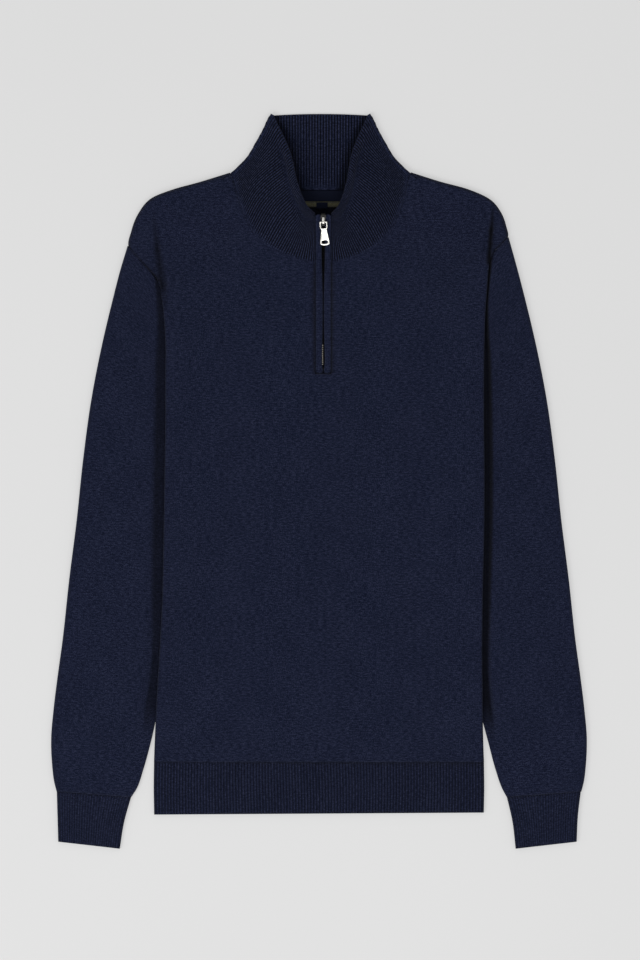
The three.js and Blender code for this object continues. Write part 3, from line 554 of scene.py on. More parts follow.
def yokeHalf(side):
    rows = front[side]
    edges = []
    for row in rows:
        place = armholePoint(side, row["seam"], -0.2) if "seam" in row else (row["x"], row["y"])
        edges.append({**row, "x": place[0], "y": place[1]})
    chest = chestRow(side, front["sides"][-1])[-len(acrossShares):]
    seam = neckSeamPoints(side, 1 - acrossShares)
    seamEnds = neckSeamPoints(side, [0, 1])
    made = []
    for k, edge in enumerate(edges):
        v = (k + 1) / len(rows)
        placketY = mix(lines["yokeY"], lines["neckFrontY"] - lines["gap"], v)
        placket = np.array([placketEdge(side), placketY, zipLevel(placketY) - 0.5])
        before = edges[k - 1] if k else {"x": front["sides"][-1][side], "y": lines["yokeY"]}
        after = edges[min(k + 1, len(edges) - 1)]
        turn = np.array([after["y"] - before["y"], before["x"] - after["x"]])
        inward = (-ways[side], 0) if edge["curl"] == 1 else turn / np.linalg.norm(turn) * -ways[side]
        u = acrossShares[:, None]

        def across(start):
            if k == len(rows) - 1:
                points = seam.copy()
                points[0] = mix(start, seam[0], 0.5)
                return points
            corners = (chest[0] * (1 - u) * (1 - v) + chest[-1] * u * (1 - v)
                       + seamEnds[1] * (1 - u) * v + seamEnds[0] * u * v)
            return chest * (1 - v) + seam * v + start * (1 - u) + placket * u - corners

        made.append(frontHalf(edge, inward, across))
    return made


def alongLine(points, start, end):
    start, end = np.array(start, float), np.array(end, float)
    way = end - start
    share = ((points - start) @ way) / (way @ way)
    length = np.linalg.norm(way)
    off = np.abs((points[..., 0] - start[0]) * way[1] - (points[..., 1] - start[1]) * way[0]) / length
    beyond = np.maximum(0, np.abs(share - 0.5) - 0.5) * length
    return np.clip(share, 0, 1), np.hypot(off, beyond)


def creaseRelief(points, creases):
    total = np.zeros(points.shape[:-1])
    for crease in creases:
        share, off = alongLine(points[..., :2], crease["from"], crease["to"])
        total = total + mix(*crease["deep"], share) * bell(off, mix(*crease["wide"], share))
    return total


# painted shade along the creases, each as dark as its dark value, fading across it
def creaseShade(points, creases):
    dark = np.zeros(points.shape[:-1])
    for crease in creases:
        share, off = alongLine(points[..., :2], crease["from"], crease["to"])
        shade = mix(*crease.get("dark", (0, 0)), share) * bell(off, mix(*crease["wide"], share))
        dark = np.maximum(dark, shade)
    return dark


def makeFront():
    left, right = ([chestRow(side, row) for row in front["sides"]] + yokeHalf(side) for side in ways)
    coarse = np.array([np.vstack([a, b[::-1]]) for a, b in zip(left, right)])
    sideYs = column(front["sides"], "y")
    yokeCount, pitch, parts = len(front["left"]), front["yokePitch"], front["yokeParts"]
    places = np.concatenate([sideYs, sideYs[-1] + pitch * np.arange(1, yokeCount + 1)])
    chestAt = np.append(steps(sideYs[0], sideYs[-1], front["chestPitch"]), lines["placketEndY"])
    yokeAt = sideYs[-1] + pitch * np.arange(1, yokeCount * parts + 1) / parts
    at = np.concatenate([np.unique(chestAt), yokeAt])
    grid = smoothThrough(places, coarse, at)
    underColumns, foldColumns = len(front["under"]), front["foldSteps"]
    columns = grid.shape[1]
    last = columns - 1 - underColumns
    ends = [underColumns, underColumns + foldColumns, last - foldColumns, last]
    onTop = np.interp(np.arange(columns), ends, [0, 1, 1, 0])
    relief = creaseRelief(grid, front["creases"])
    waves = front["waves"]
    relief += waves["height"] * uneven(grid[..., 0], grid[..., 1], waves["size"], waves["seed"])
    gathers = front["gathers"]
    near = ease(1 - (grid[..., 1] - sideYs[0]) / gathers["reach"])
    tuck = np.sin(grid[..., 0] * 2 * np.pi / gathers["pitch"] + 2.2 * np.sin(grid[..., 0] / 17))
    relief += near * gathers["height"] * tuck - 0.5 * bell(grid[..., 1] - sideYs[0], 2.2)
    relief -= 0.15 * bell((at[-1] - at) / pitch * 8, 3)[:, None]
    calm = ease((sideYs[-1] + pitch * yokeCount - at) / 12)[:, None]
    grid[..., 2] += relief * onTop * np.maximum(calm, 0.2)
    i, j = np.meshgrid(np.arange(len(at) - 1), np.arange(columns - 1), indexing="ij")
    leftEnd, rightEnd = (sideYs[-1] + pitch * front["foldedRows"][side] + 0.1 for side in ways)
    kept = np.ones(i.shape, bool)
    kept[(j < underColumns) & (at[i + 1] > leftEnd)] = False
    kept[(j >= last) & (at[i + 1] > rightEnd)] = False
    kept[(j == columns // 2 - 1) & (at[i] >= lines["placketEndY"])] = False
    faces = gridFaces(*grid.shape[:2], kept=kept)
    cloth = grid[..., :2].copy()
    across = runAlong(grid, 1)
    cloth[..., 0] = across - across[:, [columns // 2]]
    # painted shade: on the folded edges, beside the zip strips, and in the creases
    fromStrip = np.abs(grid[..., 0] - lines["zipX"]) - lines["stripOuter"]
    besideStrip = ease(1 - fromStrip / 2.6) * (grid[..., 1] > lines["placketEndY"])
    paintedShade = np.maximum(front["edgePaintedShade"] * (1 - onTop), front["stripPaintedShade"] * besideStrip)
    paintedShade = np.maximum(paintedShade, creaseShade(grid, front["creases"]))
    piece = meshPiece("frontCloth", grid, faces, jerseyKnit, cloth, paintedShade)
    return thicken(piece, front["wall"])


frontCloth = dress(makeFront(), "garment", "jersey", "front_body")
print("Front made:", len(frontCloth.data.polygons), "faces")

# The sleeves and cuffs, each a flattened tube through its sections
sleeves = {
    "wall": 1.7,
    "level": 7,
    "topParts": 72,
    "arcParts": 7,
    "bottomParts": 12,
    "pitch": 3.6,
    "first": {"tuck": 15, "inner": 4.3},
    "rise": {"left": 17, "right": 9},  # the width over which it rises beside the body
    "slot": {"left": -0.6, "right": -2.6},  # how deep it dips beside the body's edge
    "slotWide": {"left": 5.0, "right": 3.2},
    # painted shade on the sleeve beside the body's edge: how dark, and the distances from the tuck over which
    # it fades out
    "shade": {
        "left": {"dark": 0.62, "near": 5.5, "far": 13},
        "right": {"dark": 0.85, "near": 4.5, "far": 9.5},
    },
    "rows": rowsOf("outX outY leftIn rightIn inY tuck inner", [
        (218.5, 232, 160.5, 171.5, 181, 14, 4.3),
        (227, 199, 158, 170.5, 155, 13, 4.3),
        (237.5, 155, 157.8, 170.2, 125, 13, 4.3),
        (250.5, 89, 157.8, 170.2, 72.5, 13, 4.3),
        (259.5, 23, 158.5, 170.5, 14, 13, 4.3),
        (266.5, -43, 159.6, 170, -47, 13, 4.3),
        (274.8, -109, 161, 168.6, -111, 13, 4.3),
        (282, -175, 163.4, 168.2, -176, 13, 4.3),
        (288, -219, 168.2, 169.8, -221, 12, 4.2),
        (292, -252, 177.3, 177.3, -254, 8, 4),
        (294.6, -285, 184.8, 186, -287, 3, 4.6),
        (293.5, -312, 193, 194, -317, 0, 5.4),
        (291, -332, 200.5, 201.5, -338.5, 0, 6),
        (288.5, -341.5, 206.5, 206.5, -347.7, 0, 6),
    ]),
    "creases": {
        "left": rowsOf("from to wide deep", [
            ((-262, -238), (-205, -262), (10, 14), (-0.5, -0.2)),
            ((-232, -276), (-214, -338), (6, 5), (0.0, -0.5)),
            ((-262, -292), (-258, -338), (7, 5), (0.0, -0.45)),
            ((-196, 196), (-184, 120), (9, 14), (-0.6, 0.0)),
            ((-226, 60), (-196, 34), (10, 14), (-0.4, 0.0)),
        ]),
        "right": rowsOf("from to wide deep", [
            ((258, -246), (208, -258), (10, 13), (-0.4, -0.2)),
            ((236, -282), (222, -338), (6, 5), (0.0, -0.5)),
            ((268, -296), (264, -338), (7, 5), (0.0, -0.4)),
            ((206, 210), (196, 150), (8, 13), (-0.5, 0.0)),
            ((232, 76), (204, 44), (11, 14), (-0.4, 0.0)),
        ]),
    },
}


# One section of a flattened tube: over the top, round an edge, back along the floor, round the other
def flatLoop(start, end, levelAtShare, parts, relief=None):
    across = np.array(end, float) - np.array(start, float)
    width = np.linalg.norm(across)
    across /= width
    shares = np.linspace(0, 1, parts["top"] + 1)
    levels = levelAtShare(shares)
    reach = [levels[0] * 0.5, levels[-1] * 0.5]
    distance = mix(reach[0], width - reach[1], shares)
    top = np.column_stack([distance, levels])
    if relief is not None:
        top[:, 1] += relief(shares, distance)
    turns = np.pi * np.arange(1, parts["arc"] + 1) / (parts["arc"] + 1)
    farEdge = width - reach[1]
    second = np.column_stack([farEdge + reach[1] * np.sin(turns), levels[-1] / 2 * (1 + np.cos(turns))])
    below = np.linspace(farEdge, reach[0], parts["bottom"] + 1)
    floor = np.column_stack([below, np.zeros_like(below)])
    first = np.column_stack([reach[0] - reach[0] * np.sin(turns), levels[0] / 2 * (1 - np.cos(turns))])
    loop = np.vstack([top, second, floor, first])
    around = runOf(loop)
    x, y = (start[k] + across[k] * loop[:, 0] for k in (0, 1))
    return np.column_stack([x, y, loop[:, 1]]), around


def makeSleeve(side):
    way = ways[side]
    first = {**sleeves["first"], "from": armholes[side]["shoulder"], "to": armholes[side]["tuck"]}
    sections = [first] + [
        {**row, "from": (way * row["outX"], row["outY"]), "to": (way * row[side + "In"], row["inY"])}
        for row in sleeves["rows"]
    ]
    outerRun = runOf([section["from"] for section in sections])
    fine = steps(0, outerRun[-1], sleeves["pitch"])
    table = np.array([[*s["from"], *s["to"], s["tuck"], s["inner"]] for s in sections], float)
    fineTable = smoothThrough(outerRun, table, fine)
    parts = {"top": sleeves["topParts"], "arc": sleeves["arcParts"], "bottom": sleeves["bottomParts"]}
    grid, cloth, paintedShades = [], [], []
    shade = sleeves["shade"][side]
    for run, (x0, y0, x1, y1, tuck, inner) in zip(fine, fineTable):
        width = math.hypot(x1 - x0, y1 - y0)
        beside = ease((tuck - 2) / 8)  # only where the body lies over it

        def levelAtShare(share):
            inFromTuck = (1 - share) * width - tuck
            rise = ease(inFromTuck / mix(26, sleeves["rise"][side], beside))
            level = mix(inner, sleeves["level"], rise) - 0.5 * (1 - ease(share * 3))
            return level + sleeves["slot"][side] * beside * bell(inFromTuck - 2.5, sleeves["slotWide"][side])

        points, around = flatLoop((x0, y0), (x1, y1), levelAtShare, parts)
        inFromTuck = (1 - np.linspace(0, 1, parts["top"] + 1)) * width - tuck
        # painted shade beside the body's edge, narrower towards the cuff
        dark = np.zeros(len(points))
        narrower = 1 - 0.45 * ease((-80 - y1) / 130)
        far, near = shade["far"] * narrower, shade["near"] * narrower
        dark[: parts["top"] + 1] = shade["dark"] * beside * ease((far - inFromTuck) / (far - near))
        paintedShades.append(dark)
        grid.append(points)
        cloth.append(np.column_stack([around, np.full_like(around, -run)]))
    grid, cloth = np.array(grid), np.array(cloth)
    topColumns = parts["top"] + 1
    shares = np.linspace(0, 1, topColumns)
    edgeCalm = np.sin(np.pi * shares) ** 0.5
    top = grid[:, :topColumns]
    relief = creaseRelief(top, sleeves["creases"][side])
    relief += 0.3 * uneven(top[..., 0], top[..., 1], 90, 11 if side == "left" else 12)
    toCuff = (fine[-1] - fine)[:, None]
    tuckWave = np.sin(shares * 2 * np.pi * 9 + 1.3 * np.sin(11 * shares))
    relief += 0.35 * ease(1 - toCuff / 20) * tuckWave
    relief -= 0.5 * bell(toCuff, 2.2) + 0.3 * bell(fine[:, None], 2.2)
    top[..., 2] += relief * edgeCalm
    faces = turnOutward(grid, gridFaces(*grid.shape[:2], closed=True))
    piece = meshPiece("sleeveCloth" + side.title(), grid, faces, jerseyKnit, cloth, np.array(paintedShades))
    return thicken(piece, sleeves["wall"])


for side in ways:
    sleeve = dress(makeSleeve(side), "garment", "jersey", "sleeve_" + side)
    print("Sleeve made:", side, len(sleeve.data.polygons), "faces")

# The ribbed bands: a rib is a round ridge, with a narrow furrow to the next
# painted shade: the rib grooves darken by a power of the rib's phase, and the band's plain edges and
# underside by a fixed amount
ribs = {"height": 0.9, "roundness": 0.7, "paintedShade": 1.0, "plain": 0.4, "parts": 8}
cuffs = {
    "wall": 2.0,
    "ribs": 25,
    "rowPitch": 3,
    # how dark the painted shade in the cuffs' rib grooves is
    "ribShadeDepth": 0.5,
    "left": rowsOf("outX outY inX inY level", [
        (288.4, -340.8, 206.4, -347, 6.2),
        (287.6, -367.4, 214, -374.2, 6.2),
        (286.8, -396.6, 219, -404.3, 5.4),
    ]),
    "right": rowsOf("outX outY inX inY level", [
        (288, -340.8, 206.4, -347, 6.2),
        (284.8, -367.4, 212.6, -374.2, 6.2),
        (283.4, -396.6, 216.2, -404.3, 5.4),
    ]),
}
hemBand = {
    "wall": 2.0,
    # how dark the painted shade in the hem band's rib grooves is
    "ribShadeDepth": 0.69,
    "ribs": 110,
    "rowPitch": 2.8,
    "rows": rowsOf("left right side middle half", [
        (-308.4, -308.4, 5.6, 6.7, 181.4),
        (-337, -336.5, 5.6, 6.4, 181.8),
        (-366.8, -364.6, 5, 5.3, 181.3),
    ]),
}


def ribWave(phase):
    return (0.5 + 0.5 * np.cos(2 * np.pi * phase)) ** ribs["roundness"] - 0.6


# painted shade of a rib: none on the ridge, full in the groove
def ribShadeAt(phase):
    return (0.5 - 0.5 * np.cos(2 * np.pi * phase)) ** ribs["paintedShade"]


def ribbedTube(name, sections, look):
    count = look["ribs"]
    parts = {"top": count * ribs["parts"], "arc": 8, "bottom": 40}
    run = runOf([section[0] for section in sections])
    fine = np.unique(np.concatenate([steps(0, run[-1], look["rowPitch"]), run[-1] - np.array([0.5, 1.2])]))
    table = smoothThrough(run, np.array([[*s[0], *s[1], s[2], s[3]] for s in sections], float), fine)
    grid, cloth, paintedShades = [], [], []
    for at, (x0, y0, x1, y1, edge, middle) in zip(fine, table):
        castOff = 0.5 * bell(fine[-1] - at, 1.1)
        joined = bell(at, 2.0)

        def levelAtShare(share):
            level = mix(edge, middle, ease(np.minimum(share, 1 - share) * 6))
            return level * (1 - 0.14 * bell(fine[-1] - at, 1.6)) - 0.7 * joined

        def phaseAt(share):
            return share * count + 0.5 + 0.25 * np.sin(at / 23 + share * 5) * np.sin(np.pi * share)

        def relief(share, distance):
            return ribs["height"] * ribWave(phaseAt(share)) * (1 - 0.55 * joined) * (1 - castOff)

        points, around = flatLoop((x0, y0), (x1, y1), levelAtShare, parts, relief)
        # painted shade: dark in the rib grooves, a fixed amount elsewhere, evener where the band joins and is
        # cast off
        dark = np.full(len(points), ribs["plain"])
        topShares = np.linspace(0, 1, parts["top"] + 1)
        dark[: len(topShares)] = look["ribShadeDepth"] * ribShadeAt(phaseAt(topShares))
        paintedShades.append(mix(ribs["plain"], dark, (1 - 0.6 * joined) * (1 - castOff)))
        grid.append(points)
        cloth.append(np.column_stack([around, np.full_like(around, -at)]))
    grid = np.array(grid)
    faces = turnOutward(grid, gridFaces(*grid.shape[:2], closed=True))
    return thicken(meshPiece(name, grid, faces, bandKnit, cloth, paintedShades), look["wall"])


for side, way in ways.items():
    sections = [((way * row["outX"], row["outY"]), (way * row["inX"], row["inY"]), row["level"], row["level"])
                for row in cuffs[side]]
    cuff = ribbedTube("cuffRibbing" + side.title(), sections, cuffs)
    dress(cuff, "garment", "ribbing", "cuff_" + side)
sections = [((-row["half"], row["left"]), (row["half"], row["right"]), row["side"], row["middle"])
            for row in hemBand["rows"]]
hem = dress(ribbedTube("hemRibbing", sections, hemBand), "garment", "ribbing", "hem_rib")
print("Cuffs and hem band made:", len(hem.data.polygons), "faces")

# The stand collar, from the zip round the fold at the shoulder to the middle of the back
collar = {
    "frontSteps": 50,  # the part's columns: to the fold, round it, and to the middle of the back
    "foldSteps": 3,
    "totalSteps": 75,
    "frontRibs": 51,
    "parts": 7,
    "ribPitch": 3.1,
    "ribHeight": 1.15,
    # how dark the painted shade in the collar's rib grooves is
    "ribShadeDepth": 1.25,
    "foldDepth": 3,
    "foldLean": (0.84, 0.54),
    "rings": rowsOf("at wall foldX foldY backY levels half y", [
        (0, 2.3, 99.5, 336.6, 320,
         [11.2, 10.8, 9.8, 8.5, 6.4], [9, 44, 72, 88.5], [238.7, 250, 268.7, 303]),
        (0.3, 2.3, 81.5, 354, 345.4,
         [14, 14.4, 13.8, 11.4, 6.2], [9, 37, 60.5, 75], [251, 262.5, 290, 325]),
        (0.6, 2.3, 70.6, 372, 370.6,
         [17.8, 18.4, 17.4, 14.4, 6], [9, 29.5, 48.5, 58], [266, 276.5, 306.5, 341]),
        (0.8, 2.3, 61.8, 388, 387.4,
         [21, 20.6, 19.4, 16, 5.8], [9, 23.5, 38, 45.5], [279, 285.5, 316, 351]),
        (0.93, 3.2, 57, 398.5, 398.4,
         [22.6, 22.8, 21.6, 17.6, 6.4], [9, 20.6, 31.5, 39.5], [288.5, 297, 322.5, 358]),
        (1, 1.6, 54, 403.6, 403.6,
         [24, 24, 22.8, 18.6, 5.8], [9, 18.6, 26.8, 34.5], [293.5, 305, 328.2, 363]),
    ]),
    "ringPlaces": [
        0, 0.015, 0.035, 0.07, 0.11, 0.16, 0.21, 0.26, 0.31, 0.36, 0.41, 0.46, 0.51, 0.56, 0.61, 0.66,
        0.7, 0.735, 0.765, 0.79, 0.81, 0.83, 0.85, 0.87, 0.89, 0.91, 0.93, 0.95, 0.968, 0.982, 0.993, 1,
    ],
    # beside the rolled edge, where the ribs fade
    "valley": {"at": 0.875, "wide": 0.045, "deep": 2.6, "ribs": 0.15},
    "roll": {"at": 0.965, "wide": 0.028, "high": 1.3},
    # painted shade on the back's inside, under the fronts' edges: how wide and how dark
    "shade": {"wide": 11, "dark": 0.5},  # on the back's inside, under the fronts' edges
}


collarStations = (collar["frontSteps"], collar["frontSteps"] + collar["foldSteps"], collar["totalSteps"])


def collarLine(way, ring):
    depth, lean = collar["foldDepth"], collar["foldLean"]
    frontEnd, foldEnd, total = collarStations
    r = finer(np.arange(total + 1), collar["parts"])
    backEdge = ring["foldX"] - depth
    plain = min(ring["wall"], collar["rings"][0]["wall"])
    low, high = plain / 2, ring["levels"][-1]
    base = np.array([ring["foldX"] - depth * lean[0], ring["foldY"] - depth * lean[1]])
    stations = [*zip(ring["half"], ring["y"], ring["levels"]), (*base, high)]
    share = np.clip(r / frontEnd, 0, 1)
    point = curveThrough(stations, share)
    x, y, z = mix(lines["zipX"], lines["neckX"], share) + way * point[:, 0], point[:, 1], point[:, 2]
    inFold = (r > frontEnd) & (r < foldEnd)
    t = np.clip((r - frontEnd) / collar["foldSteps"], 0, 1)
    out = depth * np.sin(np.pi * t)
    foldX = lines["neckX"] + way * (mix(base[0], backEdge, ease(t)) + out * lean[0])
    x, y = np.where(inFold, foldX, x), np.where(inFold, base[1] + out * lean[1], y)
    z = np.where(inFold, mix(high, low, (1 - np.cos(np.pi * t)) / 2), z)
    onBack = r >= foldEnd
    away = backEdge * (total - r) / (total - foldEnd)
    backLine = mix(ring["backY"], base[1], np.minimum(1, (away / backEdge) ** 2))
    x, y, z = (np.where(onBack, a, b) for a, b in ((lines["neckX"] + way * away, x), (backLine, y), (low, z)))
    wall = mix(plain, ring["wall"], ease((frontEnd - 4 - r) / 16))  # the edge is only thick along the front
    return np.column_stack([x, y, z, wall, r])


# Ribs are counted from the zip round to the back. Those of the front fan out and those of the back
# are upright, so that some end at the fold between them.
def collarPhase(r, backEdge):
    frontEnd, foldEnd, total = collarStations
    backEdge = backEdge[:, None]
    count = collar["frontRibs"]
    backStart = total - backEdge / collar["ribPitch"]
    onFront = np.minimum(r / frontEnd, 1) * count
    inFold = count + np.clip((r - frontEnd) / collar["foldSteps"], 0, 1) * (1 + backStart % 1)
    onBack = total - backEdge * (total - r) / (total - foldEnd) / collar["ribPitch"]
    return np.where(r < foldEnd, np.where(r <= frontEnd, onFront, inFold), onBack)


def makeCollar():
    coarse = []
    for ring in collar["rings"]:
        left, right = collarLine(-1, ring), collarLine(1, ring)
        coarse.append(np.vstack([left[:-1], right[::-1]]))
    at = np.array(collar["ringPlaces"])
    full = smoothThrough(column(collar["rings"], "at"), np.array(coarse), at)
    grid, wall, r = full[..., :3], full[..., 3], full[0, :, 4]
    backEdge = column(collar["rings"], "foldX") - collar["foldDepth"]
    phase = collarPhase(r, np.interp(at, column(collar["rings"], "at"), backEdge))
    along = np.gradient(grid, axis=1)
    up = np.gradient(grid, axis=0)
    normal = np.cross(along, up)
    normal /= np.linalg.norm(normal, axis=-1, keepdims=True)
    if normal[3, 40, 2] < 0:
        normal = -normal
    valley = collar["valley"]
    onFront = ease((collar["frontSteps"] - 2 - r) / 12)[None, :] * ease((r + 2) / 5)[None, :]
    dent = valley["deep"] * bell(at - valley["at"], valley["wide"])[:, None] * onFront
    roll = collar["roll"]
    dent = dent - roll["high"] * bell(at - roll["at"], roll["wide"])[:, None] * onFront
    ends = ease(at / 0.12 + 0.1)[:, None] * ease((1 - at) / 0.05 + 0.4)[:, None]
    ends = ends * (1 - 0.7 * bell(r - collar["frontSteps"] - collar["foldSteps"] / 2, 3))
    inValley = bell(at - valley["at"] + 0.01, valley["wide"])[:, None] * onFront
    ends = ends * (1 - (1 - valley["ribs"]) * inValley)
    rib = collar["ribHeight"] * ribWave(phase) * ends
    ribBack = collar["ribHeight"] * ribWave(phase + 0.5) * ends
    wobble = 0.25 * uneven(grid[..., 0], grid[..., 1], 60, 21)
    outer = grid + normal * (wall / 2 + rib - dent + wobble * onFront)[..., None]
    inner = grid - normal * (wall / 2 + ribBack + dent * 0.6)[..., None]
    for face in (outer, inner):
        face[..., 2] = np.maximum(face[..., 2], 0)
    rows, columns = grid.shape[:2]
    size = rows * columns
    faces = [gridFaces(rows, columns), gridFaces(rows, columns)[:, ::-1] + size]
    edge = np.arange(columns - 1)
    rim = (rows - 1) * columns + edge
    side = np.arange(rows - 1) * columns
    far = side + columns - 1
    faces.append(np.column_stack([edge + 1, edge, edge + size, edge + 1 + size]))
    faces.append(np.column_stack([rim, rim + 1, rim + 1 + size, rim + size]))
    faces.append(np.column_stack([side, side + columns, side + columns + size, side + size]))
    faces.append(np.column_stack([far + columns, far, far + size, far + columns + size]))
    cloth = np.stack([phase * collar["ribPitch"] * 1.03, runAlong(grid, 0)], axis=-1)
    points = np.concatenate([outer.reshape(-1, 3), inner.reshape(-1, 3)])
    faces = turnOutward(points, np.vstack(faces))
    shade = collar["shade"]
    rim = collar["rings"][-1]
    fromEdge = np.interp(grid[..., 1], rim["y"] + [rim["foldY"]], rim["half"] + [rim["foldX"]])
    fromEdge = fromEdge - np.abs(grid[..., 0] - lines["neckX"])
    under = ease(1 - fromEdge / shade["wide"]) * (r >= collar["frontSteps"] + collar["foldSteps"])
    # painted shade: in the rib grooves, a little in the valley beside the rolled edge, and on the back's
    # inside under the fronts' edges
    paintedShade = [mix(0.4, collar["ribShadeDepth"] * ribShadeAt(phase), ends) + 0.12 * inValley,
              mix(0.4, 1.08 * ribShadeAt(phase + 0.5), ends) + shade["dark"] * under]
    paintedShade = np.minimum(np.stack(paintedShade), 1.05)
    return meshPiece("collarRibbing", points, faces, ribKnit, np.stack([cloth, cloth]), paintedShade)


collarRibbing = dress(makeCollar(), "garment", "ribbing", "collar")
print("Collar made:", len(collarRibbing.data.polygons), "faces")

# The back lies flat on the floor, and shows inside the neck and from below
back = {
    "wall": 1.7,
    "level": 1.75,
    "underReach": 22,
    "seamDrop": 3.4,
    "shoulderInset": 1.2,
    "seamSteps": 40,
    "neckTuck": 1.5,
    "pitch": 18,
    "from": (-215, -370),
    "to": (215, 420),
}


# A flat mesh, or a plate with round edges, inside closed outlines
def drawnMesh(name, outlines, extrude=0.0, edge=0.0):
    shape = bpy.data.curves.new(name, "CURVE")
    shape.dimensions = "2D"
    shape.fill_mode = "BOTH"
    shape.extrude = extrude
    shape.bevel_depth = edge
    shape.bevel_resolution = 3
    shape.offset = -edge
    for outline in outlines:
        spline = shape.splines.new("POLY")
        spline.points.add(len(outline) - 1)
        for point, (x, y) in zip(spline.points, outline):
            point.co = (x, y, 0, 1)
        spline.use_cyclic_u = True
    drawn = linked(name, shape)
    mesh = bpy.data.meshes.new_from_object(drawn.evaluated_get(bpy.context.evaluated_depsgraph_get()))
    bpy.data.objects.remove(drawn)
    return mesh


def backOutline(side):
    way = ways[side]
    folded = [row for row in front[side] if row["curl"] == 1]
    shoulder = [row for row in front[side] if row["curl"] == 0.5 and "seam" not in row]
    inset = back["underReach"] + lines["gap"]
    low = [(row[side] - way * inset, row["y"]) for row in front["sides"]]
    low += [(row["x"] - way * inset, row["y"]) for row in folded]
    lastY = folded[-1]["y"] + 2 * lines["gap"]
    corner = [(folded[-1]["x"] - way * inset, lastY), (armholes[side]["tuck"][0] - way, lastY)]
    seam = [tuple(armholePoint(side, share, lines["gap"] + 0.1)) for share in (0.98, 0.65, 0.35, 0.06)]
    over = [(row["x"] - way * back["shoulderInset"], row["y"] - back["seamDrop"]) for row in shoulder]
    return low + corner + seam + over


def makeBack():
    left, right = backOutline("left"), backOutline("right")
    ring = collar["rings"][0]
    edge = ring["foldX"] - collar["foldDepth"]
    neck = []
    for k in range(1, back["seamSteps"]):
        x = mix(left[-1][0], right[-1][0], k / back["seamSteps"])
        high = ring["foldY"] - collar["foldDepth"] * collar["foldLean"][1]
        share = min(1, ((x - lines["neckX"]) / edge) ** 2)
        neck.append((x, mix(ring["backY"], high, share) + back["neckTuck"]))
    outline = left + neck + right[::-1]
    work = bmesh.new()
    work.from_mesh(drawnMesh("backOutline", [[(x * millimetre, y * millimetre) for x, y in outline]]))
    bmesh.ops.remove_doubles(work, verts=work.verts, dist=1e-5)
    for axis in (1, 0):
        for level in np.arange(back["from"][axis], back["to"][axis], back["pitch"]) * millimetre:
            way = (1 - axis, axis, 0)
            cut = work.verts[:] + work.edges[:] + work.faces[:]
            bmesh.ops.bisect_plane(work, geom=cut, plane_co=Vector(way) * level, plane_no=way)
    bmesh.ops.recalc_face_normals(work, faces=work.faces)
    work.normal_update()
    if sum(face.normal.z * face.calc_area() for face in work.faces) < 0:
        bmesh.ops.reverse_faces(work, faces=work.faces)
    points = np.array([vert.co[:] for vert in work.verts]) / millimetre
    points[:, 2] = back["level"]
    work.verts.index_update()
    faces = [[vert.index for vert in face.verts] for face in work.faces]
    work.free()
    made = bpy.data.meshes.new("backCloth")
    made.from_pydata((points * millimetre).tolist(), [], faces)
    setPlaces(made, points[:, :2])
    for material in (insidePaintedShadeKnit, jerseyKnit):
        made.materials.append(material)
    return thicken(linked("backCloth", made), back["wall"])


backCloth = dress(makeBack(), "garment", "jersey", "back_body")
backCloth.modifiers[0].material_offset = 1  # the plain knit shows outside, and inside its reverse, painted dark as shade
print("Back made:", len(backCloth.data.polygons), "faces")

# The zip: two knit strips, tapes, teeth, bottom stop, slider and pull
zipParts = {
    "stripWall": 2.2,
    "stripTop": 292.3,
    "crown": 0.95,
    "pitch": 2.0,
    "across": 14,
    # the channel between the strips: half its width, and how far the teeth lie below the strips' top
    "channel": rowsOf("y half deep", [
        (118, 0.3, 1.8),
        (124, 0.7, 1.4),
        (128, 1.2, 0.9),
        (148, 1.15, 0.9),
        (160, 0.75, 2.2),
        (215, 0.7, 2.6),
        (232, 1.2, 2.2),
        (254, 1.7, 2.4),
        (270, 1.5, 2.1),
        (286, 1.4, 1.4),
        (302, 1.4, 1.4),
    ]),
}


def channelAt(name, y):
    return smoothThrough(column(zipParts["channel"], "y"), column(zipParts["channel"], name), y)


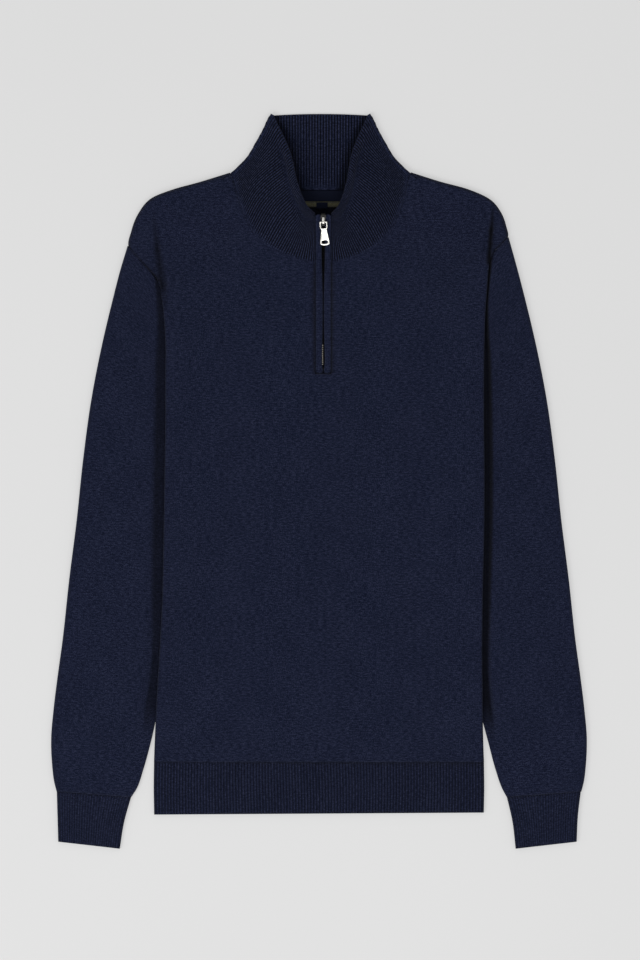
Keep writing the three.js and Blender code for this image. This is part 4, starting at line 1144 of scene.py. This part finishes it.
def makeStrip(side, way):
    y = steps(lines["placketEndY"] + lines["gap"], zipParts["stripTop"], zipParts["pitch"])
    y = np.unique(np.concatenate([y, y[0] + np.array([0.5, 1.1]), y[-1] - np.array([0.5, 1.1])]))
    half = np.maximum(channelAt("half", y), 0.3)
    turn = np.linspace(0, 2 * np.pi, 4 * zipParts["across"], endpoint=False)
    shapeX = np.sign(np.cos(turn)) * np.abs(np.cos(turn)) ** 0.75  # a flat tube's section
    shapeZ = np.sign(np.sin(turn)) * np.abs(np.sin(turn)) ** 0.8
    grid = []
    for yHere, inner in zip(y, half):
        middle, width = (inner + lines["stripOuter"]) / 2, (lines["stripOuter"] - inner) / 2
        high = zipLevel(yHere)
        level = high - zipParts["stripWall"] / 2 + shapeZ * zipParts["stripWall"] / 2
        level = level - zipParts["crown"] * np.abs(shapeX) ** 3 * (shapeZ > 0) * 0.6
        x = lines["zipX"] + way * (middle + shapeX * width)
        grid.append(np.column_stack([x, np.full_like(x, yHere), level]))
    grid = np.array(grid)
    endDip = bell(y - y[0], 1.6)[:, None] * (shapeZ > 0)
    grid[..., 2] -= 0.7 * endDip
    around = np.broadcast_to(turn * 3.2, grid.shape[:2])
    cloth = np.stack([around, np.broadcast_to(y[:, None], around.shape)], axis=-1)
    turnedIn = np.minimum(ease((y - y[0] + 0.4) / 1.6), ease((y[-1] - y + 0.4) / 1.6))[:, None, None]
    middleLine = grid.mean(axis=1, keepdims=True)
    grid = middleLine + (grid - middleLine) * mix(0.1, 1, turnedIn)
    rows, columns = grid.shape[:2]
    isSewn = np.zeros((rows - 1, columns), bool)
    isSewn[:, 3 * columns // 4] = True  # the folded strip is open underneath, where it is sewn to the tape
    faces = turnOutward(grid, gridFaces(rows, columns, closed=True, kept=~isSewn))
    return meshPiece("zipStrip" + side.title(), grid, faces, jerseyKnit, cloth)


for side, way in ways.items():
    strip = dress(makeStrip(side, way), "garment", "jersey", "placket_" + side)
    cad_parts["zip_tape_" + side].data.materials.clear()
    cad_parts["zip_tape_" + side].data.materials.append(tapeWeave)

# Each tooth is a rounded block, and the two rows mesh
teeth = {
    "pitch": 2.3,
    "start": 127.2,
    "end": 287.5,
    "length": 1.25,
    "thick": 0.85,
    "height": 1.3,
    "bevel": 0.28,
    # teeth above this, and the far row, are painted in shade
    "brightBelow": 151,
    "farDeeper": 1.3,
}


def bevelBox(size, bevel):
    work = bmesh.new()
    bmesh.ops.create_cube(work, size=1)
    bmesh.ops.scale(work, vec=size, verts=work.verts)
    bmesh.ops.bevel(work, geom=work.edges[:], offset=bevel, segments=2, profile=0.6, affect="EDGES")
    bmesh.ops.triangulate(work, faces=work.faces)
    work.verts.index_update()
    points = np.array([vert.co[:] for vert in work.verts])
    faces = np.array([[vert.index for vert in face.verts] for face in work.faces])
    work.free()
    return points, faces


def scatterBlocks(name, block, places, material):
    points, faces = block
    allPoints, allFaces = [], []
    for k, place in enumerate(places):
        moved = np.array([place @ Vector(p) for p in points])
        allPoints.append(moved)
        allFaces.append(faces + k * len(points))
    return meshPiece(name, np.vstack(allPoints), np.vstack(allFaces), material)


def slopeAt(y):
    return math.atan2(zipLevel(y + 3) - zipLevel(y - 3), 6)


toothPlaces = []
toothRows = steps(teeth["start"], teeth["end"], teeth["pitch"] / 2)
for k, y in enumerate(toothRows):
    way = -1 if k % 2 else 1
    deep = channelAt("deep", np.array([y]))[0]
    if way > 0 and y < teeth["brightBelow"]:
        deep += teeth["farDeeper"]
    spread = mix(0.75, 0.42, ease((y - 140) / 20))
    spot = Vector((lines["zipX"] + way * spread, y, zipLevel(y) - deep - teeth["height"] / 2))
    toothPlaces.append(Matrix.Translation(spot) @ Matrix.Rotation(slopeAt(y), 4, "X"))
toothBlock = bevelBox((teeth["length"], teeth["thick"], teeth["height"]), teeth["bevel"])
zipTeeth = scatterBlocks("zipTeeth", toothBlock, toothPlaces, teethMetal)
dress(zipTeeth, "garment", "zip_metal", "zip_chain")
# painted shade: the far row and the teeth above the bright stretch get the near-black metal
zipTeeth.data.materials.append(shadedTeethPaint)
centres = [face.center / millimetre for face in zipTeeth.data.polygons]
inShade = [int(centre.y > teeth["brightBelow"] or centre.x > lines["zipX"]) for centre in centres]
zipTeeth.data.polygons.foreach_set("material_index", inShade)
stopBlock = bevelBox((2.2, 3.0, 1.5), 0.4)
stopSpot = Vector((lines["zipX"], 123.9, zipLevel(123.9) - 2.0))
# the bottom stop is painted in shade as well
zipStop = scatterBlocks("zipBottomStop", stopBlock, [Matrix.Translation(stopSpot)], shadedTeethPaint)
dress(zipStop, "garment", "zip_metal", "zip_bottom_stop")
print("Zip strips and teeth made:", len(toothPlaces), "teeth")

# The slider and pull, drawn in their own plane on the slope of the collar
hardware = {
    "pivotY": 284.5,
    "pivotLevel": 2.05,
    "pullTilt": 2.4,
    "pullWall": 1.3,
    "edge": 0.22,
    "pullEye": {"half": 4.2, "holeHalf": 3.0, "bar": 0.65, "end": 7.4},
    "pullPlate": {"topHalf": 2.8, "bottomHalf": 5.2, "top": 8.4, "bottom": 26.2},
    "pullHole": {"halfX": 3.6, "halfY": 2.2, "y": 22.6},
    "pullLean": 4.4,  # degrees that it lies to one side, in the slack of its eye
    "sliderLow": -4.4,
    "sliderLength": 12.6,
    "sliderHalf": 2.9,
    "sliderWaist": 2.1,
    "sliderPlate": 0.9,
    # the bridge above this is plain nickel, the plates below are painted in shade
    "brightAbove": 2.2,  # the bridge, above the plate that lies in its shade
}
pivotSlope = math.atan2(zipLevel(284.5) - zipLevel(264.5), 20)
pivotPlace = Matrix.Translation(Vector((lines["zipX"], hardware["pivotY"], zipLevel(hardware["pivotY"]))))
pivotPlace = pivotPlace @ Matrix.Rotation(pivotSlope, 4, "X")


def quadCurve(a, b, c, parts=8):
    t = np.linspace(0, 1, parts + 1)[1:, None]
    a, b, c = (np.array(p, float) for p in (a, b, c))
    return ((1 - t) ** 2 * a + 2 * (1 - t) * t * b + t**2 * c).tolist()


# A flat metal piece with round edges and holes, from outlines in its own plane
def stampedMetal(name, outlines, low, high, place, edge, material):
    mesh = drawnMesh(name, outlines, (high - low) / 2 - edge, edge)
    mesh.transform(Matrix.Scale(millimetre, 4) @ place @ Matrix.Translation((0, 0, (low + high) / 2)))
    mesh.materials.clear()
    mesh.materials.append(material)
    return mesh


def joinMeshes(name, meshes):
    work = bmesh.new()
    for mesh in meshes:
        work.from_mesh(mesh)
    bmesh.ops.remove_doubles(work, verts=work.verts, dist=2e-6)
    bmesh.ops.recalc_face_normals(work, faces=work.faces)
    joined = bpy.data.meshes.new(name)
    work.to_mesh(joined)
    work.free()
    joined.materials.append(meshes[0].materials[0])
    for polygon in joined.polygons:
        polygon.use_smooth = True
    piece = linked(name, joined)
    sharp = piece.modifiers.new("edges", "EDGE_SPLIT")
    sharp.split_angle = math.radians(40)
    return piece


def makePull():
    eye, plate, hole = hardware["pullEye"], hardware["pullPlate"], hardware["pullHole"]
    half, bar, end = eye["half"], eye["bar"], eye["end"]
    top, bottom = plate["top"], plate["bottom"]
    rightSide = [[half - 1.2, bar]]
    rightSide += quadCurve((half - 1.2, bar), (half, bar), (half, -1.5))
    rightSide += [[half, -4.8]] + quadCurve((half, -4.8), (half, -end), (plate["topHalf"], -top))
    rightSide += [[plate["bottomHalf"], -bottom + 2.6]]
    rightSide += quadCurve((plate["bottomHalf"], -bottom + 2.6), (plate["bottomHalf"], -bottom), (0, -bottom))
    outline = rightSide + [[-x, y] for x, y in rightSide[-2::-1]]
    inside = eye["holeHalf"]
    hollow = [[inside - 0.6, -bar], [inside, -1.5], [inside, -5]]
    hollow += quadCurve((inside, -5), (inside, -end), (inside - 1.6, -end), 4)
    hollow = hollow + [[-x, y] for x, y in hollow[::-1]]
    turns = np.linspace(0, 2 * np.pi, 28, endpoint=False)
    oval = [[hole["halfX"] * np.cos(t), -hole["y"] + hole["halfY"] * np.sin(t)] for t in turns]
    place = pivotPlace @ Matrix.Translation((0, 0, hardware["pivotLevel"]))
    place = place @ Matrix.Rotation(math.radians(hardware["pullLean"]), 4, "Z")
    place = place @ Matrix.Rotation(math.radians(hardware["pullTilt"]), 4, "X")
    wall = hardware["pullWall"] / 2
    mesh = stampedMetal("pull", [outline, hollow, oval], -wall, wall, place, hardware["edge"], nickel)
    return joinMeshes("zipPull", [mesh])


def slopeRise(y):
    return math.tan(pivotSlope) * (y - hardware["pivotY"])


def makeSlider():
    low, high = hardware["sliderLow"], hardware["sliderLow"] + hardware["sliderLength"]
    half, waist = hardware["sliderHalf"], hardware["sliderWaist"]
    rightSide = [[waist - 0.9, low]] + quadCurve((waist - 0.9, low), (waist, low), (waist, low + 1.4))
    rightSide += quadCurve((waist, low + 3.5), (waist, low + 6), (half, high - 4))
    rightSide += quadCurve((half, high - 2.2), (half, high), (half - 2.0, high))
    outline = rightSide + [[-x, y] for x, y in rightSide[::-1]]
    gap, plate = lines["gap"], hardware["sliderPlate"]
    depth = zipParts["stripWall"] + 3 * gap + 0.9
    edge = hardware["edge"]
    meshes = [
        stampedMetal("plate", [outline], gap, gap + plate, pivotPlace, edge, sliderNickelPaintedShade),
        stampedMetal("underPlate", [outline], -depth - 0.8, -depth, pivotPlace, edge, sliderNickelPaintedShade),
    ]
    upright = pivotPlace @ Matrix.Rotation(math.pi / 2, 4, "Y") @ Matrix.Rotation(math.pi / 2, 4, "Z")
    post = [[5, -depth - 0.2], [7.2, -depth - 0.2], [7.2, gap + 0.2], [5, gap + 0.2]]
    base = gap + plate - 0.1
    arch = [[-1.9, base], [-0.95, base], [-0.95, 2.6]] + quadCurve((-0.95, 2.6), (-0.95, 3), (-0.4, 3), 4)
    arch += [[4.2, 3]] + quadCurve((4.2, 3), (4.6, 3), (4.6, 2.6), 4) + [[4.6, base], [5.6, base], [5.6, 2.8]]
    arch += quadCurve((5.6, 2.8), (5.6, 4), (4.2, 4), 6) + [[-0.6, 4]]
    arch += quadCurve((-0.6, 4), (-1.9, 4), (-1.9, 2.6), 6)
    meshes.append(stampedMetal("post", [post], -0.9, 0.9, upright, 0.1, nickel))
    meshes.append(stampedMetal("bridge", [arch], -1.1, 1.1, upright, 0.16, nickel))
    slider = joinMeshes("zipSlider", meshes)
    slider.data.materials.append(nickel)
    # painted shade: faces below the bridge keep the darkened nickel, those above get plain nickel
    bright = zipLevel(hardware["pivotY"]) + hardware["brightAbove"]
    centres = [face.center / millimetre for face in slider.data.polygons]
    over = [int(centre.z - slopeRise(centre.y) > bright) for centre in centres]
    slider.data.polygons.foreach_set("material_index", over)
    return slider


dress(makeSlider(), "garment", "zip_metal", "zip_slider")
dress(makePull(), "pull", "zip_metal", "pull_tab")
print("Slider and pull made")

# The bare labels and the olive tape on the inside of the back
trims = {
    "neckLabel": {"node": "neck_label", "slot": "label", "weave": labelWeave, "bevel": 0.2},
    "neckTape": {"node": "neck_tape", "slot": "neck_tape", "weave": oliveWeave, "bevel": 0.25},
    "sizeLabel": {"node": "size_label", "slot": "label", "weave": labelWeave, "bevel": 0.15},
}
for name, look in trims.items():
    low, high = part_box(look["node"])
    size = (high - low) / millimetre
    middle = (high + low) / 2 / millimetre
    block = bevelBox(tuple(size), look["bevel"])
    piece = scatterBlocks(name, block, [Matrix.Translation(middle)], look["weave"])
    dress(piece, "garment", look["slot"], look["node"])

# Sewing: a stitch is a short round bar of thread
sewing = {"thick": 0.28, "length": 1.7, "pitch": 2.3}


def stitchRow(name, line, lift=0.0, length=sewing["length"], pitch=sewing["pitch"]):
    line = np.array(line, float)
    run = runOf(line)
    at = np.arange(pitch / 2, run[-1], pitch)
    spots = np.column_stack([np.interp(at, run, line[:, k]) for k in range(3)])
    ahead = np.column_stack([np.interp(at + 0.4, run, line[:, k]) for k in range(3)])
    places = []
    for spot, onward in zip(spots, ahead):
        way = Vector(onward - spot)
        turn = way.to_track_quat("X", "Z").to_matrix().to_4x4() if way.length > 1e-6 else Matrix.Identity(4)
        places.append(Matrix.Translation(Vector(spot) + Vector((0, 0, lift))) @ turn)
    block = bevelBox((length, sewing["thick"] * 2, sewing["thick"] * 1.4), sewing["thick"] * 0.6)
    return dress(scatterBlocks(name, block, places, seamThread), "garment", "jersey")


labelLow, labelHigh = (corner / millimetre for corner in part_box("neck_label"))
tapeLow, tapeHigh = (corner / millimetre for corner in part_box("neck_tape"))
for k, x in enumerate((labelLow[0] + 1.2, labelHigh[0] - 1.2)):
    ends = [(x, labelLow[1] + 0.4, labelHigh[2]), (x, labelHigh[1] - 0.4, labelHigh[2])]
    stitchRow(f"labelStitches{k}", ends, length=1.3, pitch=1.9)
for k, y in enumerate((tapeLow[1] + 0.9, tapeHigh[1] - 0.9)):
    stitchRow(f"tapeStitches{k}", [(tapeLow[0], y, tapeHigh[2]), (tapeHigh[0], y, tapeHigh[2])])

# The placket's end: a sewn bar across both strips
barY = lines["placketEndY"] - 0.4
barAcross = np.linspace(-lines["stripOuter"], lines["stripOuter"], 12)
barLine = [(lines["zipX"] + x, barY, zipLevel(barY) - 0.35) for x in barAcross]
stitchRow("placketEndStitches", barLine, length=1.5, pitch=1.75)
print("Labels, tape and sewing made")

# The pale floor, soft light from all round with more from the left, and the camera straight above
setting = {
    "floorHalf": 12.0,
    "floorTone": (0.30, 0.30, 0.30),
    "floorGlow": 0.435,  # it is lit from below as well, so that nothing casts a hard shadow
    "sky": (1.0, 1.0, 1.0),
    "skyStrength": 0.62,
    "photo": {"height": 960, "middle": (320, 480), "zero": (319, 481), "pitch": 1.1},  # pixels, mm a pixel
    "cameraHeight": 8,
    "sensor": 36,
}
floorMesh = bpy.data.meshes.new("floor")
f = setting["floorHalf"]
floorMesh.from_pydata([(-f, -f, 0), (f, -f, 0), (f, f, 0), (-f, f, 0)], [], [(0, 1, 2, 3)])
floorMaterial, floorTree, floorShader = newMaterial("paleFloor", Roughness=0.9, Specular_IOR_Level=0.1)
floorNoise = noiseAt(floorTree, objectPlace(floorTree), (1, 1), 1.6, 1)
floorStops = [(at, tuple(c * tone for c in setting["floorTone"])) for at, tone in ((0.2, 0.97), (0.8, 1.03))]
floorTree.links.new(rampOf(floorTree, floorNoise, floorStops), floorShader.inputs["Base Color"])
floorShader.inputs["Emission Color"].default_value = (1, 1, 1, 1)
floorShader.inputs["Emission Strength"].default_value = setting["floorGlow"]
floorMesh.materials.append(floorMaterial)
floor = linked("floor", floorMesh)
floor.location.z = -0.0002

world = bpy.data.worlds.new("softStudio")
world.use_nodes = True
sky = world.node_tree.nodes["Background"]
sky.inputs["Color"].default_value = (*setting["sky"], 1)
sky.inputs["Strength"].default_value = setting["skyStrength"]
bpy.context.scene.world = world

lamps = rowsOf("name place size power", [
    ("left", (-1.6, -0.9, 2.2), 1.4, 25),
    ("right", (1.7, -0.8, 2.5), 1.6, 7),
    ("belowHem", (0.1, -1.9, 2.3), 1.2, 13),
])
for lamp in lamps:
    light = bpy.data.lights.new(lamp["name"], "AREA")
    light.shape = "DISK"
    light.size = lamp["size"]
    light.energy = lamp["power"]
    holder = linked(lamp["name"], light)
    holder.location = lamp["place"]
    holder.rotation_euler = (-Vector(lamp["place"])).to_track_quat("-Z", "Y").to_euler()

photo = setting["photo"]
lookX = (photo["middle"][0] - photo["zero"][0]) * photo["pitch"] * millimetre
lookY = (photo["zero"][1] - photo["middle"][1]) * photo["pitch"] * millimetre
camera = bpy.data.cameras.new("camera")
camera.sensor_fit = "VERTICAL"
camera.sensor_height = setting["sensor"]
camera.lens = setting["sensor"] * setting["cameraHeight"] / (photo["height"] * photo["pitch"] * millimetre)
camera.clip_end = 50
cameraHolder = linked("camera", camera)
cameraHolder.location = (lookX, lookY, setting["cameraHeight"])
bpy.context.scene.camera = cameraHolder
bpy.context.scene.view_settings.view_transform = "Standard"
print("Floor, lights and camera made")
